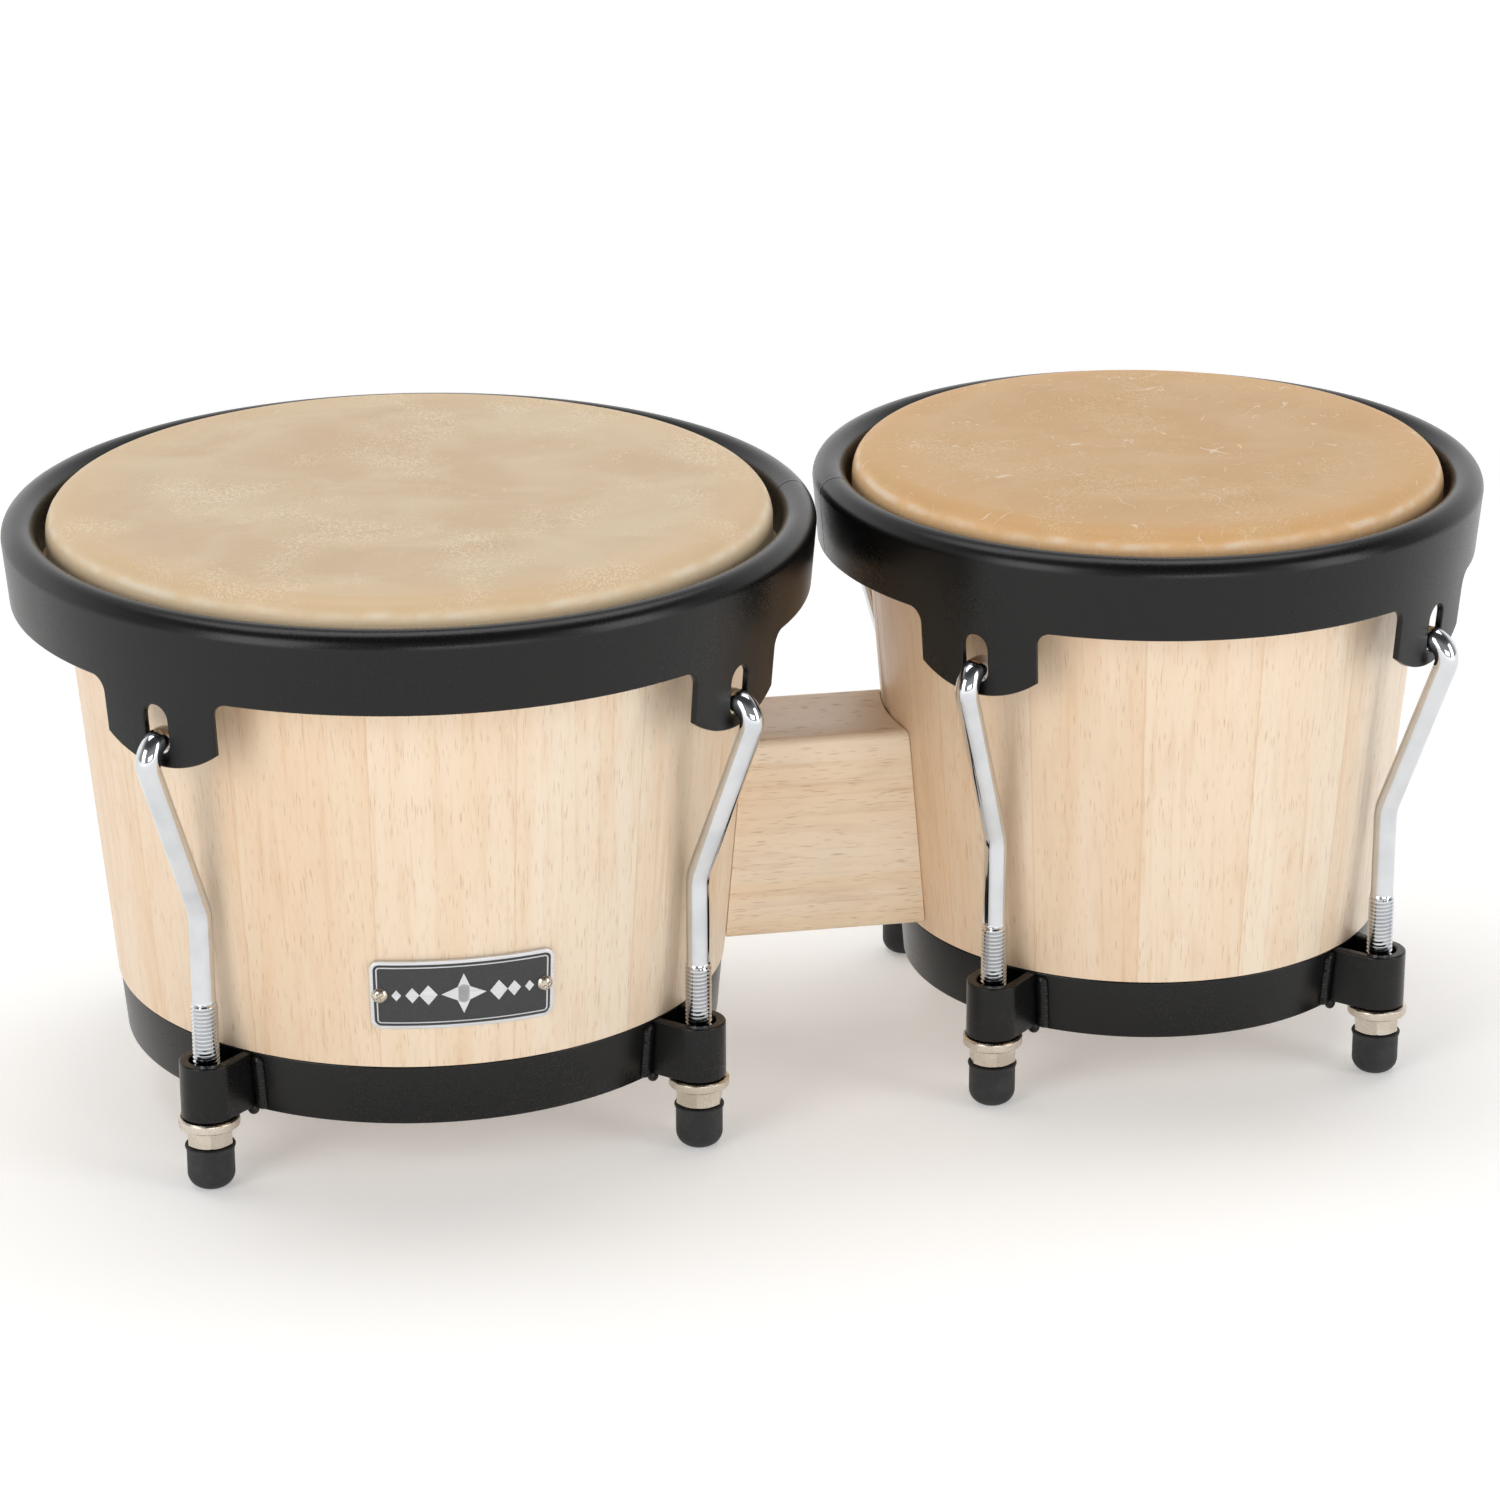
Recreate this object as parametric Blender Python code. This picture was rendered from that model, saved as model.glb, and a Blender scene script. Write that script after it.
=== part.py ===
"""Bongo drums: two tapered stave drums bolted to one centre block, tuned by hooks, nuts and a steel rim.

The large drum stands at -X and the small drum at +X. The front, with the badge, faces -Y, and +Z is up.
The origin is on the floor under the middle of the pair. All sizes are in metres.
"""

import math
from dataclasses import dataclass

import bmesh
import bpy
from mathutils import Matrix, Vector

# ---------------------------------------------------------------- driving sizes, the whole pair
SHELL_HEIGHT = 0.1654  # wooden shell, bottom edge to bearing edge
SHELL_BOTTOM_Z = 0.0218  # height of the shells' bottom edge over the floor
SHELL_TAPER = math.radians(5.0)  # slope of the shell's wall
SHELL_WALL = 0.0115
BEARING_SHARE = 0.66  # share of the wall's thickness that the bearing edge's rounding takes
RIM_TO_RIM = 0.0034  # free space between the two rims
EARS = 4  # ears, hooks, lugs, nuts and feet on each drum

# ---------------------------------------------------------------- driving sizes, skin and flesh hoop
SKIN = 0.0018  # thickness of the rawhide
SKIN_STAND = 0.0008  # free space between shell and collar at the bearing edge
COLLAR_DEPTH = 0.022  # how far the collar reaches down from the playing surface
HOOP_RADIUS = 0.0032  # flesh hoop, radius of its round wire
HOOP_DEPTH = 0.0245  # flesh hoop's centre, below the playing surface

# ---------------------------------------------------------------- driving sizes, steel rim
RIM_SHEET = 0.0022
RIM_SECTION = 0.0103  # width of the rolled section, outside to inside
RIM_CREST_DEPTH = 0.0043  # top of the roll, below the playing surface
RIM_SKIRT_DEPTH = 0.0292  # bottom edge between the ears, below the playing surface
RIM_TAPER = math.radians(5.0)  # the skirt leans in towards its bottom edge
EAR_HALF_WIDTH = 0.0203
EAR_SIDE_DEPTH = 0.0455  # where the straight sides of an ear end, below the playing surface
EAR_DEPTH = 0.0524  # lowest point of an ear, below the playing surface
EAR_FILLET = 0.0045
SLOT_PLAY = 0.0013  # how much wider the slot is than the rod
SLOT_TOP_DEPTH = 0.0330
SLOT_BOTTOM_DEPTH = 0.0483

# ---------------------------------------------------------------- driving sizes, tuning hardware
ROD_RADIUS = 0.00355
THREAD_RISE = 0.00045  # the rolled thread stands proud of the rod
THREAD_TOP_Z = 0.0612
HOOK_KINK_Z = 0.0872  # where the rod leans out towards the ear
HOOK_KINK_RADIUS = 0.016
HOOK_PLAY = 0.0015  # between the rim's sheet and the inside of the hook, on each side
HOOK_TIP = 0.0035  # straight end behind the ear
ROD_END_Z = 0.0035
LUG_THICKNESS = 0.0030
LUG_PLAY = 0.0012  # between the strap and the thread it goes round
LUG_BOTTOM_Z = 0.0230
LUG_TOP_Z = 0.0408
NUT_WALL = 0.0025  # from the thread to the middle of a flat
NUT_HEX_HEIGHT = 0.0056
NUT_FLANGE = 0.0027  # how far the flange stands out past the flats
NUT_FLANGE_HEIGHT = 0.0031
NUT_CHAMFER = 0.0006
FOOT_WALL = 0.0031  # rubber round the thread
FOOT_LIP = 0.0005  # how far the lip stands out from the foot's side
FOOT_LIP_HEIGHT = 0.0016
FOOT_ROUNDING = 0.0039  # between the foot's side and its flat underside

# ---------------------------------------------------------------- driving sizes, bottom ring
RING_HEIGHT = 0.019
RING_SHEET = 0.0020
RING_INSET = 0.0005  # the wood stands this far proud of the ring

# ---------------------------------------------------------------- driving sizes, block and its bolts
BLOCK_HEIGHT = 0.0646
BLOCK_DEPTH = 0.0414
BLOCK_BOTTOM_Z = 0.0435
BLOCK_ROUNDING = 0.0025
BOLT_RADIUS = 0.0040
BOLT_PITCH = 0.034  # height between the two bolts
BOLT_HEAD_WALL = 0.0025  # from the shank to the middle of a flat
BOLT_HEAD_HEIGHT = 0.0053
BOLT_SPARE = 0.0025  # thread that stands out past the nut
BLOCK_NUT_HEIGHT = 0.0065
WASHER_BAND = 0.0070  # from the shank to the washer's edge
WASHER_THICKNESS = 0.0018
SEAT_SHARE = 0.25  # share of the wall's thickness that a washer's seat is let in

# ---------------------------------------------------------------- driving sizes, badge
BADGE_WIDTH = 0.054
BADGE_HEIGHT = 0.022
BADGE_THICKNESS = 0.0014
BADGE_CENTRE_Z = 0.0655
BADGE_SCREW_SPACING = 0.0478
SCREW_SHANK_RADIUS = 0.0012
SCREW_HEAD_OVERHANG = 0.0011  # how far the head reaches past the shank
SCREW_HEAD_HEIGHT = 0.0014
SCREW_LENGTH = 0.0085
DOME_SHOULDER = (0.8, 0.7)  # the head's shoulder, as shares of its radius and height

# ---------------------------------------------------------------- clearances and facet counts
TOUCH = 0.0003  # gap between two pieces that touch
THREAD_PLAY = 0.0003  # between a thread and the bore round it
ROUND = 40  # facets of shells, heads, rims and rings
SMALL_ROUND = 16
HEX_ROUND = 12  # facets of bores and flanges that meet a hexagon
PILOT_ROUND = 8  # facets of the small screw holes
BADGE_STEPS = 10  # flats along the badge's curve
STRAP_STEPS = 6  # flats round the bend of a lug
SHOULDER_STEPS = 3  # flats in small roundings
KINK_STEPS = 2  # flats in a hook's kink and in a foot's rounding
BEND_STEPS = 7  # flats in a hook's bend and along an ear's lower edge
ROLL_STEPS = 5  # flats round the rim's roll and each end of a slot
WIRE_STEPS = 6  # facets of the flesh hoop's wire
SMOOTH_ANGLE = math.radians(35)
CUT_MARGIN = 0.004  # how far a cutter runs past what it cuts
MM = 0.001

# ---------------------------------------------------------------- values worked out from the above
THREAD_RADIUS = ROD_RADIUS + THREAD_RISE
SLOT_WIDTH = 2 * ROD_RADIUS + SLOT_PLAY
HOOK_BEND_RADIUS = RIM_SHEET / 2 + HOOK_PLAY + ROD_RADIUS  # centre line of the bend over the ear
LUG_BORE = THREAD_RADIUS + LUG_PLAY
NUT_FLATS = 2 * (THREAD_RADIUS + NUT_WALL)
NUT_FLANGE_RADIUS = NUT_FLATS / 2 + NUT_FLANGE
FOOT_RADIUS = THREAD_RADIUS + FOOT_WALL
FOOT_FLAT_RADIUS = FOOT_RADIUS - FOOT_ROUNDING
BOLT_HEAD_FLATS = 2 * (BOLT_RADIUS + BOLT_HEAD_WALL)
WASHER_RADIUS = BOLT_RADIUS + WASHER_BAND
SCREW_HEAD_RADIUS = SCREW_SHANK_RADIUS + SCREW_HEAD_OVERHANG
SHELL_TOP_Z = SHELL_BOTTOM_Z + SHELL_HEIGHT
PLAY_Z = SHELL_TOP_Z + TOUCH + SKIN
RING_TOP_Z = SHELL_BOTTOM_Z + RING_HEIGHT
NUT_TOP_Z = LUG_BOTTOM_Z - TOUCH
NUT_BOTTOM_Z = NUT_TOP_Z - NUT_FLANGE_HEIGHT - NUT_HEX_HEIGHT
FOOT_TOP_Z = NUT_BOTTOM_Z - TOUCH
BLOCK_CENTRE_Z = BLOCK_BOTTOM_Z + BLOCK_HEIGHT / 2
BOLT_HEIGHTS = {"upper": BLOCK_CENTRE_Z + BOLT_PITCH / 2, "lower": BLOCK_CENTRE_Z - BOLT_PITCH / 2}
CORNER_NAMES = {45: "back_right", 135: "back_left", 225: "front_left", 315: "front_right"}


@dataclass
class Drum:
    """One of the two drums, with the sizes that set it apart from the other."""

    name: str
    shell_top_radius: float
    rim_gap: float  # free space between collar and rim
    hook_standoff: float  # from the ring's outer face to the centre of the rods
    axis_x: float = 0.0

    def shell_radius(self, z):
        return self.shell_top_radius - (SHELL_TOP_Z - z) * math.tan(SHELL_TAPER)

    def collar_radius(self):
        return self.shell_top_radius + SKIN_STAND + SKIN

    def rim_radius(self):
        return self.collar_radius() + self.rim_gap + RIM_SECTION

    def roll_z(self):
        return PLAY_Z - RIM_CREST_DEPTH - RIM_SECTION / 2

    def skirt_radius(self, z):
        return self.rim_radius() - (self.roll_z() - z) * math.tan(RIM_TAPER)

    def ring_radius(self, z):
        return self.shell_radius(z) - RING_INSET

    def hook_circle(self):
        return self.ring_radius(SHELL_BOTTOM_Z + RING_HEIGHT / 2) + self.hook_standoff

    def bottom_hole(self):
        return self.shell_radius(SHELL_BOTTOM_Z) - SHELL_WALL

    def corners(self):
        step = 360 // EARS
        return [step // 2 + step * i for i in range(EARS)]


LARGE = Drum("large", shell_top_radius=0.1066, rim_gap=0.0027, hook_standoff=0.0117)
SMALL = Drum("small", shell_top_radius=0.0888, rim_gap=0.0018, hook_standoff=0.0124)
AXIS_SPACING = LARGE.rim_radius() + SMALL.rim_radius() + RIM_TO_RIM
PAIR_WIDTH = AXIS_SPACING + LARGE.rim_radius() + SMALL.rim_radius()
LARGE.axis_x = LARGE.rim_radius() - PAIR_WIDTH / 2
SMALL.axis_x = PAIR_WIDTH / 2 - SMALL.rim_radius()


# ---------------------------------------------------------------- materials
FINISHES = {  # name: (colour, roughness, metallic)
    "rubberwood": ((0.78, 0.60, 0.42), 0.45, 0.0),
    "rawhide": ((0.72, 0.58, 0.40), 0.55, 0.0),
    "black_powder_coat": ((0.020, 0.020, 0.021), 0.45, 0.0),
    "chrome": ((0.80, 0.81, 0.83), 0.08, 1.0),
    "nickel": ((0.74, 0.70, 0.64), 0.22, 1.0),
    "black_rubber": ((0.018, 0.019, 0.021), 0.65, 0.0),
    "zinc_steel": ((0.60, 0.61, 0.62), 0.35, 1.0),
    "badge_plate": ((0.05, 0.05, 0.055), 0.30, 0.6),
}


def make_material(name):
    """A plain Principled material from the table of finishes."""
    colour, roughness, metallic = FINISHES[name]
    material = bpy.data.materials.new(name)
    material.use_nodes = True
    shader = material.node_tree.nodes["Principled BSDF"]
    shader.inputs["Base Color"].default_value = (*colour, 1.0)
    shader.inputs["Roughness"].default_value = roughness
    shader.inputs["Metallic"].default_value = metallic
    return material


# ---------------------------------------------------------------- shape helpers
def arc(centre, radius, start, end, steps):
    """Points of an arc in a plane; the angles are in radians and both ends are included."""
    angles = [start + (end - start) * i / steps for i in range(steps + 1)]
    return [(centre[0] + radius * math.cos(a), centre[1] + radius * math.sin(a)) for a in angles]


def add_object(name, source, material, smooth=True):
    """Link a mesh or a curve as an object with one material."""
    thing = bpy.data.objects.new(name, source)
    bpy.context.scene.collection.objects.link(thing)
    source.materials.append(bpy.data.materials[material])
    if smooth and isinstance(source, bpy.types.Mesh):
        source.shade_smooth()
        source.set_sharp_from_angle(angle=SMOOTH_ANGLE)
    return thing


def finish_mesh(name, bm):
    """Close a bmesh into a mesh with its doubles merged and its faces pointing out."""
    bmesh.ops.remove_doubles(bm, verts=bm.verts, dist=MM / 100)
    bmesh.ops.recalc_face_normals(bm, faces=bm.faces)
    mesh = bpy.data.meshes.new(name)
    bm.to_mesh(mesh)
    bm.free()
    return mesh


def lathe(name, profile, facets=ROUND, closed=True, turn=2 * math.pi, start=0.0):
    """Turn a profile of (radius, height) points about Z. An open profile starts and ends on the axis."""
    bm = bmesh.new()
    turned = Matrix.Rotation(start, 3, "Z")
    verts = [bm.verts.new(turned @ Vector((r, 0, z))) for r, z in profile]
    pairs = list(zip(verts, verts[1:]))
    if closed:
        pairs.append((verts[-1], verts[0]))
    edges = [bm.edges.new(pair) for pair in pairs]
    full = math.isclose(turn, 2 * math.pi)
    ends = bmesh.ops.spin(
        bm, geom=verts + edges, cent=(0, 0, 0), axis=(0, 0, 1), angle=turn, steps=facets, use_merge=full
    )
    if not full:
        last = [v for v in ends["geom_last"] if isinstance(v, bmesh.types.BMVert)]
        bm.faces.new(verts)
        bm.faces.new(last)
    return finish_mesh(name, bm)


def prism(name, outlines, low, high, place):
    """Extrude closed (u, v) outlines from w = low to w = high; place turns (u, v, w) into x, y, z."""
    bm = bmesh.new()
    for outline in outlines:
        face = bm.faces.new([bm.verts.new((u, v, low)) for u, v in outline])
        grown = bmesh.ops.extrude_face_region(bm, geom=[face], use_keep_orig=True)
        top = [v for v in grown["geom"] if isinstance(v, bmesh.types.BMVert)]
        bmesh.ops.translate(bm, verts=top, vec=(0, 0, high - low))
    bmesh.ops.transform(bm, matrix=place, verts=bm.verts)
    return finish_mesh(name, bm)


def regular(sides, radius, turn=0.0):
    """Corners of a regular polygon."""
    angles = [turn + 2 * math.pi * i / sides for i in range(sides)]
    return [(radius * math.cos(a), radius * math.sin(a)) for a in angles]


def hexagon(flats):
    """Corners and side middles of a hexagon, so that it bridges to a round outline point by point."""
    corner, middle = flats / 2 / math.cos(math.pi / 6), flats / 2
    step = 2 * math.pi / HEX_ROUND
    radii = [middle if i % 2 else corner for i in range(HEX_ROUND)]
    return [(r * math.cos(step * i), r * math.sin(step * i)) for i, r in enumerate(radii)]


def stack(name, levels, place, bored=True):
    """Extrude a loop through outlines of equal point counts, given as (points, height).

    A bored stack comes back to its first outline; otherwise both ends are filled.
    """
    bm = bmesh.new()
    points, z = levels[0]
    ring = [bm.verts.new((u, v, z)) for u, v in points]
    first = ring
    edges = [bm.edges.new(pair) for pair in zip(ring, ring[1:] + ring[:1])]
    for points, z in levels[1:] + levels[:1] if bored else levels[1:]:
        grown = bmesh.ops.extrude_edge_only(bm, edges=edges)["geom"]
        edges = [e for e in grown if isinstance(e, bmesh.types.BMEdge)]
        fresh = {v for v in grown if isinstance(v, bmesh.types.BMVert)}
        ring = [next(e.other_vert(v) for e in v.link_edges if e.other_vert(v) in fresh) for v in ring]
        for vert, (u, v) in zip(ring, points):
            vert.co = (u, v, z)
    if not bored:
        bm.faces.new(first)
        bm.faces.new(ring)
    bmesh.ops.transform(bm, matrix=place, verts=bm.verts)
    return finish_mesh(name, bm)


def drilled_prism(name, outline, bore, low, high, place):
    """A prism with a round bore through its middle."""
    inner = regular(len(outline), bore)
    return stack(name, ((outline, low), (outline, high), (inner, high), (inner, low)), place)


def bore_radius(radius, clearance, sides=SMALL_ROUND):
    """Corner radius of a faceted bore whose flats still clear a round pin."""
    return (radius + clearance) / math.cos(math.pi / sides)


def cut(target, cutter):
    """Subtract one object from another with a live Boolean."""
    modifier = target.modifiers.new("cut_" + cutter.name, "BOOLEAN")
    modifier.operation = "DIFFERENCE"
    modifier.solver = "EXACT"
    modifier.object = cutter


def add_cutter(name, mesh, parent=None):
    """A hidden guide that only cuts other pieces."""
    cutter = add_object(name, mesh, "zinc_steel", smooth=False)
    cutter.parent = parent
    cutter.hide_render = True
    cutter.display_type = "WIRE"
    return cutter


def along_x(x, y, z):
    """Place a prism's own +w axis along +X, with its foot at the given point."""
    return Matrix.Translation((x, y, z)) @ Matrix.Rotation(math.pi / 2, 4, "Y")


def facing(angle):
    """Place a prism's (u, v, w) as sideways, up and outwards at a turn about Z."""
    upright = Matrix(((0, 0, 1, 0), (1, 0, 0, 0), (0, 1, 0, 0), (0, 0, 0, 1)))
    return Matrix.Rotation(angle, 4, "Z") @ upright


# ---------------------------------------------------------------- shell, head and flesh hoop
def bearing_rounding():
    """Radius of the shell's rounded bearing edge."""
    return SHELL_WALL * BEARING_SHARE


def build_shell(drum, mount):
    """Tapered stave shell with a rounded bearing edge and a rebate for the bottom ring."""
    rounding = bearing_rounding()
    rebate = RING_INSET + RING_SHEET + TOUCH
    rebate_top = RING_TOP_Z + TOUCH
    edge_z = SHELL_TOP_Z - rounding
    edge_radius = drum.shell_radius(edge_z)
    inner_bevel = SHELL_WALL - rounding
    profile = [
        (drum.bottom_hole(), SHELL_BOTTOM_Z),
        (drum.shell_radius(SHELL_BOTTOM_Z) - rebate, SHELL_BOTTOM_Z),
        (drum.shell_radius(rebate_top) - rebate, rebate_top),
        (drum.shell_radius(rebate_top), rebate_top),
    ]
    profile += arc((edge_radius - rounding, edge_z), rounding, 0, math.pi / 2, SHOULDER_STEPS)
    profile.append((edge_radius - SHELL_WALL, SHELL_TOP_Z - inner_bevel))
    shell = add_object(f"{drum.name}_shell", lathe(f"{drum.name}_shell", profile), "rubberwood")
    shell.parent = mount
    return shell


def build_head(drum, mount):
    """Rawhide head: playing surface, rounded shoulder and collar, as one thick skin."""
    outer = drum.collar_radius()
    shoulder = bearing_rounding() + SKIN_STAND + SKIN
    inner_shoulder = shoulder - SKIN
    centre = (outer - shoulder, PLAY_Z - shoulder)
    collar_end = PLAY_Z - COLLAR_DEPTH
    profile = [(0.0, PLAY_Z)]
    profile += arc(centre, shoulder, math.pi / 2, 0, SHOULDER_STEPS)
    profile += [(outer, collar_end), (outer - SKIN, collar_end)]
    profile += arc(centre, inner_shoulder, 0, math.pi / 2, KINK_STEPS)
    profile.append((0.0, PLAY_Z - SKIN))
    head = add_object(f"{drum.name}_head", lathe(f"{drum.name}_head", profile, closed=False), "rawhide")
    head.parent = mount


def build_flesh_hoop(drum, mount):
    """Round wire hoop that the skin is wrapped round, under the rim."""
    centre_radius = drum.collar_radius() + TOUCH * 2 + HOOP_RADIUS
    profile = arc((centre_radius, PLAY_Z - HOOP_DEPTH), HOOP_RADIUS, 0, 2 * math.pi, WIRE_STEPS)[:-1]
    hoop = add_object(f"{drum.name}_flesh_hoop", lathe(f"{drum.name}_flesh_hoop", profile), "zinc_steel")
    hoop.parent = mount


# ---------------------------------------------------------------- rim and bottom ring
def rim_profile(drum):
    """Closed section of the rim's sheet: skirt, roll over the top, and inner wall down to the hoop."""
    outer, roll = drum.rim_radius(), RIM_SECTION / 2
    centre = (outer - roll, drum.roll_z())
    wall_foot = PLAY_Z - HOOP_DEPTH + HOOP_RADIUS + TOUCH
    ear_low = PLAY_Z - EAR_DEPTH - CUT_MARGIN
    inner = outer - RIM_SECTION
    profile = [(drum.skirt_radius(ear_low), ear_low)]
    profile += arc(centre, roll, 0, math.pi, ROLL_STEPS)
    profile += [(inner, wall_foot), (inner + RIM_SHEET, wall_foot)]
    profile += arc(centre, roll - RIM_SHEET, math.pi, 0, SHOULDER_STEPS)
    profile.append((drum.skirt_radius(ear_low) - RIM_SHEET, ear_low))
    return profile


def ear_outline(half_width, reach):
    """What is cut from the skirt round one ear: everything below the skirt's edge except the ear."""
    edge, side, low = PLAY_Z - RIM_SKIRT_DEPTH, PLAY_Z - EAR_SIDE_DEPTH, PLAY_Z - EAR_DEPTH
    sagitta = side - low
    radius = (half_width**2 + sagitta**2) / (2 * sagitta)
    lean = math.asin(half_width / radius)
    fillet_x = half_width + EAR_FILLET
    down = -math.pi / 2
    outline = [(reach, low - 2 * CUT_MARGIN), (reach, edge)]
    outline += arc((fillet_x, edge - EAR_FILLET), EAR_FILLET, math.pi / 2, math.pi, SHOULDER_STEPS)
    outline += arc((0, low + radius), radius, down + lean, down - lean, BEND_STEPS)
    outline += arc((-fillet_x, edge - EAR_FILLET), EAR_FILLET, 0, math.pi / 2, SHOULDER_STEPS)
    outline += [(-reach, edge), (-reach, low - 2 * CUT_MARGIN)]
    return outline


def slot_outline():
    """Upright slot with round ends, which the hook passes through."""
    half = SLOT_WIDTH / 2
    top, bottom = PLAY_Z - SLOT_TOP_DEPTH - half, PLAY_Z - SLOT_BOTTOM_DEPTH + half
    upper = arc((0, top), half, 0, math.pi, ROLL_STEPS)
    return upper + arc((0, bottom), half, math.pi, 2 * math.pi, ROLL_STEPS)


def build_rim(drum, mount):
    """Rolled steel rim with an ear and a slot for each hook."""
    rim = add_object(f"{drum.name}_rim", lathe(f"{drum.name}_rim", rim_profile(drum)), "black_powder_coat")
    rim.parent = mount
    reach = drum.rim_radius() * math.sin(math.pi / EARS) + RIM_SHEET
    start = drum.skirt_radius(PLAY_Z - EAR_DEPTH) * math.cos(math.pi / EARS) - CUT_MARGIN
    start -= RIM_SHEET
    outlines = [ear_outline(EAR_HALF_WIDTH, reach), slot_outline()]
    for corner in drum.corners():
        name = f"{drum.name}_ear_cutter_{corner}"
        place = facing(math.radians(corner))
        mesh = prism(name, outlines, start, drum.rim_radius() + CUT_MARGIN, place)
        cut(rim, add_cutter(name, mesh, mount))


def build_bottom_ring(drum, mount):
    """Flat steel band let into the shell's foot."""
    low, high = drum.ring_radius(SHELL_BOTTOM_Z), drum.ring_radius(RING_TOP_Z)
    profile = [
        (low, SHELL_BOTTOM_Z),
        (high, RING_TOP_Z),
        (high - RING_SHEET, RING_TOP_Z),
        (low - RING_SHEET, SHELL_BOTTOM_Z),
    ]
    name = f"{drum.name}_bottom_ring"
    add_object(name, lathe(name, profile), "black_powder_coat").parent = mount


# ---------------------------------------------------------------- lugs, hooks, nuts and feet
def lug_outline(drum):
    """Plan of a bent strap: round the rod, with two legs back to the ring."""
    circle = drum.hook_circle()
    outer = LUG_BORE + LUG_THICKNESS
    root = drum.shell_radius(LUG_BOTTOM_Z) - RING_SHEET
    quarter = math.pi / 2
    outline = [(root, -outer)]
    outline += arc((circle, 0), outer, -quarter, quarter, STRAP_STEPS)
    outline += [(root, outer), (root, LUG_BORE)]
    outline += arc((circle, 0), LUG_BORE, quarter, -quarter, STRAP_STEPS)
    outline.append((root, -LUG_BORE))
    return outline


def build_lugs(drum, mount):
    """U-shaped straps on the bottom ring, shaped to the ring's slope."""
    outline = lug_outline(drum)
    mesh = prism(f"{drum.name}_lug", [outline], LUG_BOTTOM_Z, LUG_TOP_Z, Matrix.Identity(4))
    low, high = LUG_BOTTOM_Z - CUT_MARGIN, LUG_TOP_Z + CUT_MARGIN
    cone = [(0, low), (drum.ring_radius(low) + TOUCH, low), (drum.ring_radius(high) + TOUCH, high), (0, high)]
    cutter_name = f"{drum.name}_ring_cutter"
    cutter = add_cutter(cutter_name, lathe(cutter_name, cone, closed=False), mount)
    mesh.materials.append(bpy.data.materials["black_powder_coat"])
    mesh.shade_smooth()
    mesh.set_sharp_from_angle(angle=SMOOTH_ANGLE)
    for corner in drum.corners():
        lug = bpy.data.objects.new(f"{drum.name}_lug_{CORNER_NAMES[corner]}", mesh)
        bpy.context.scene.collection.objects.link(lug)
        lug.parent = mount
        lug.rotation_euler.z = math.radians(corner)
        cut(lug, cutter)


def hook_route(drum):
    """Centre line of a hook as (radius from the drum's axis, height, wire radius)."""
    circle = drum.hook_circle()
    inside = HOOK_BEND_RADIUS - ROD_RADIUS
    bend_z = PLAY_Z - SLOT_BOTTOM_DEPTH + 2 * TOUCH - math.sqrt(inside**2 - (RIM_SHEET / 2) ** 2)
    bend = (drum.skirt_radius(bend_z) - RIM_SHEET / 2, bend_z)
    run, rise = bend[0] - circle, bend[1] - HOOK_KINK_Z
    lean = math.atan2(run, rise) + math.asin(HOOK_BEND_RADIUS / math.hypot(run, rise))
    setback = HOOK_KINK_RADIUS * math.tan(lean / 2)
    kink = (circle + HOOK_KINK_RADIUS, HOOK_KINK_Z - setback)
    route = [(circle, ROD_END_Z, THREAD_RADIUS), (circle, THREAD_TOP_Z, THREAD_RADIUS)]
    route.append((circle, THREAD_TOP_Z + THREAD_RADIUS - ROD_RADIUS, ROD_RADIUS))
    route += [(r, z, ROD_RADIUS) for r, z in arc(kink, HOOK_KINK_RADIUS, math.pi, math.pi - lean, KINK_STEPS)]
    route += [(r, z, ROD_RADIUS) for r, z in arc(bend, HOOK_BEND_RADIUS, -lean, math.pi, BEND_STEPS)]
    route.append((bend[0] - HOOK_BEND_RADIUS, bend[1] - HOOK_TIP, ROD_RADIUS))
    return route


def build_hooks(drum, mount):
    """J-shaped tuning hooks, threaded at the lower end."""
    route = hook_route(drum)
    for corner in drum.corners():
        name = f"{drum.name}_hook_{CORNER_NAMES[corner]}"
        curve = bpy.data.curves.new(name, "CURVE")
        curve.dimensions = "3D"
        curve.bevel_depth = ROD_RADIUS
        curve.bevel_resolution = 2
        curve.use_fill_caps = True
        spline = curve.splines.new("POLY")
        spline.points.add(len(route) - 1)
        for point, (radius, z, wire) in zip(spline.points, route):
            point.co = (radius, 0, z, 1)
            point.radius = wire / ROD_RADIUS
        hook = add_object(name, curve, "chrome")
        hook.parent = mount
        hook.rotation_euler.z = math.radians(corner)


def build_nut(drum, corner):
    """Flanged nut under a lug, with its own origin on the thread's axis."""
    name = f"{drum.name}_nut_{CORNER_NAMES[corner]}"
    bore = regular(HEX_ROUND, bore_radius(THREAD_RADIUS, THREAD_PLAY, HEX_ROUND))
    flange = regular(HEX_ROUND, NUT_FLANGE_RADIUS)
    neck = regular(HEX_ROUND, NUT_FLATS / 2)
    wrench = hexagon(NUT_FLATS)
    top = NUT_HEX_HEIGHT + NUT_FLANGE_HEIGHT
    levels = (
        (bore, 0.0),
        (neck, 0.0),
        (wrench, NUT_CHAMFER),
        (wrench, NUT_HEX_HEIGHT),
        (flange, NUT_HEX_HEIGHT + NUT_CHAMFER),
        (flange, top),
        (bore, top),
    )
    nut = add_object(name, stack(name, levels, Matrix.Identity(4)), "nickel")
    angle = math.radians(corner)
    nut.location = (
        drum.axis_x + drum.hook_circle() * math.cos(angle),
        drum.hook_circle() * math.sin(angle),
        NUT_BOTTOM_Z,
    )


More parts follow.
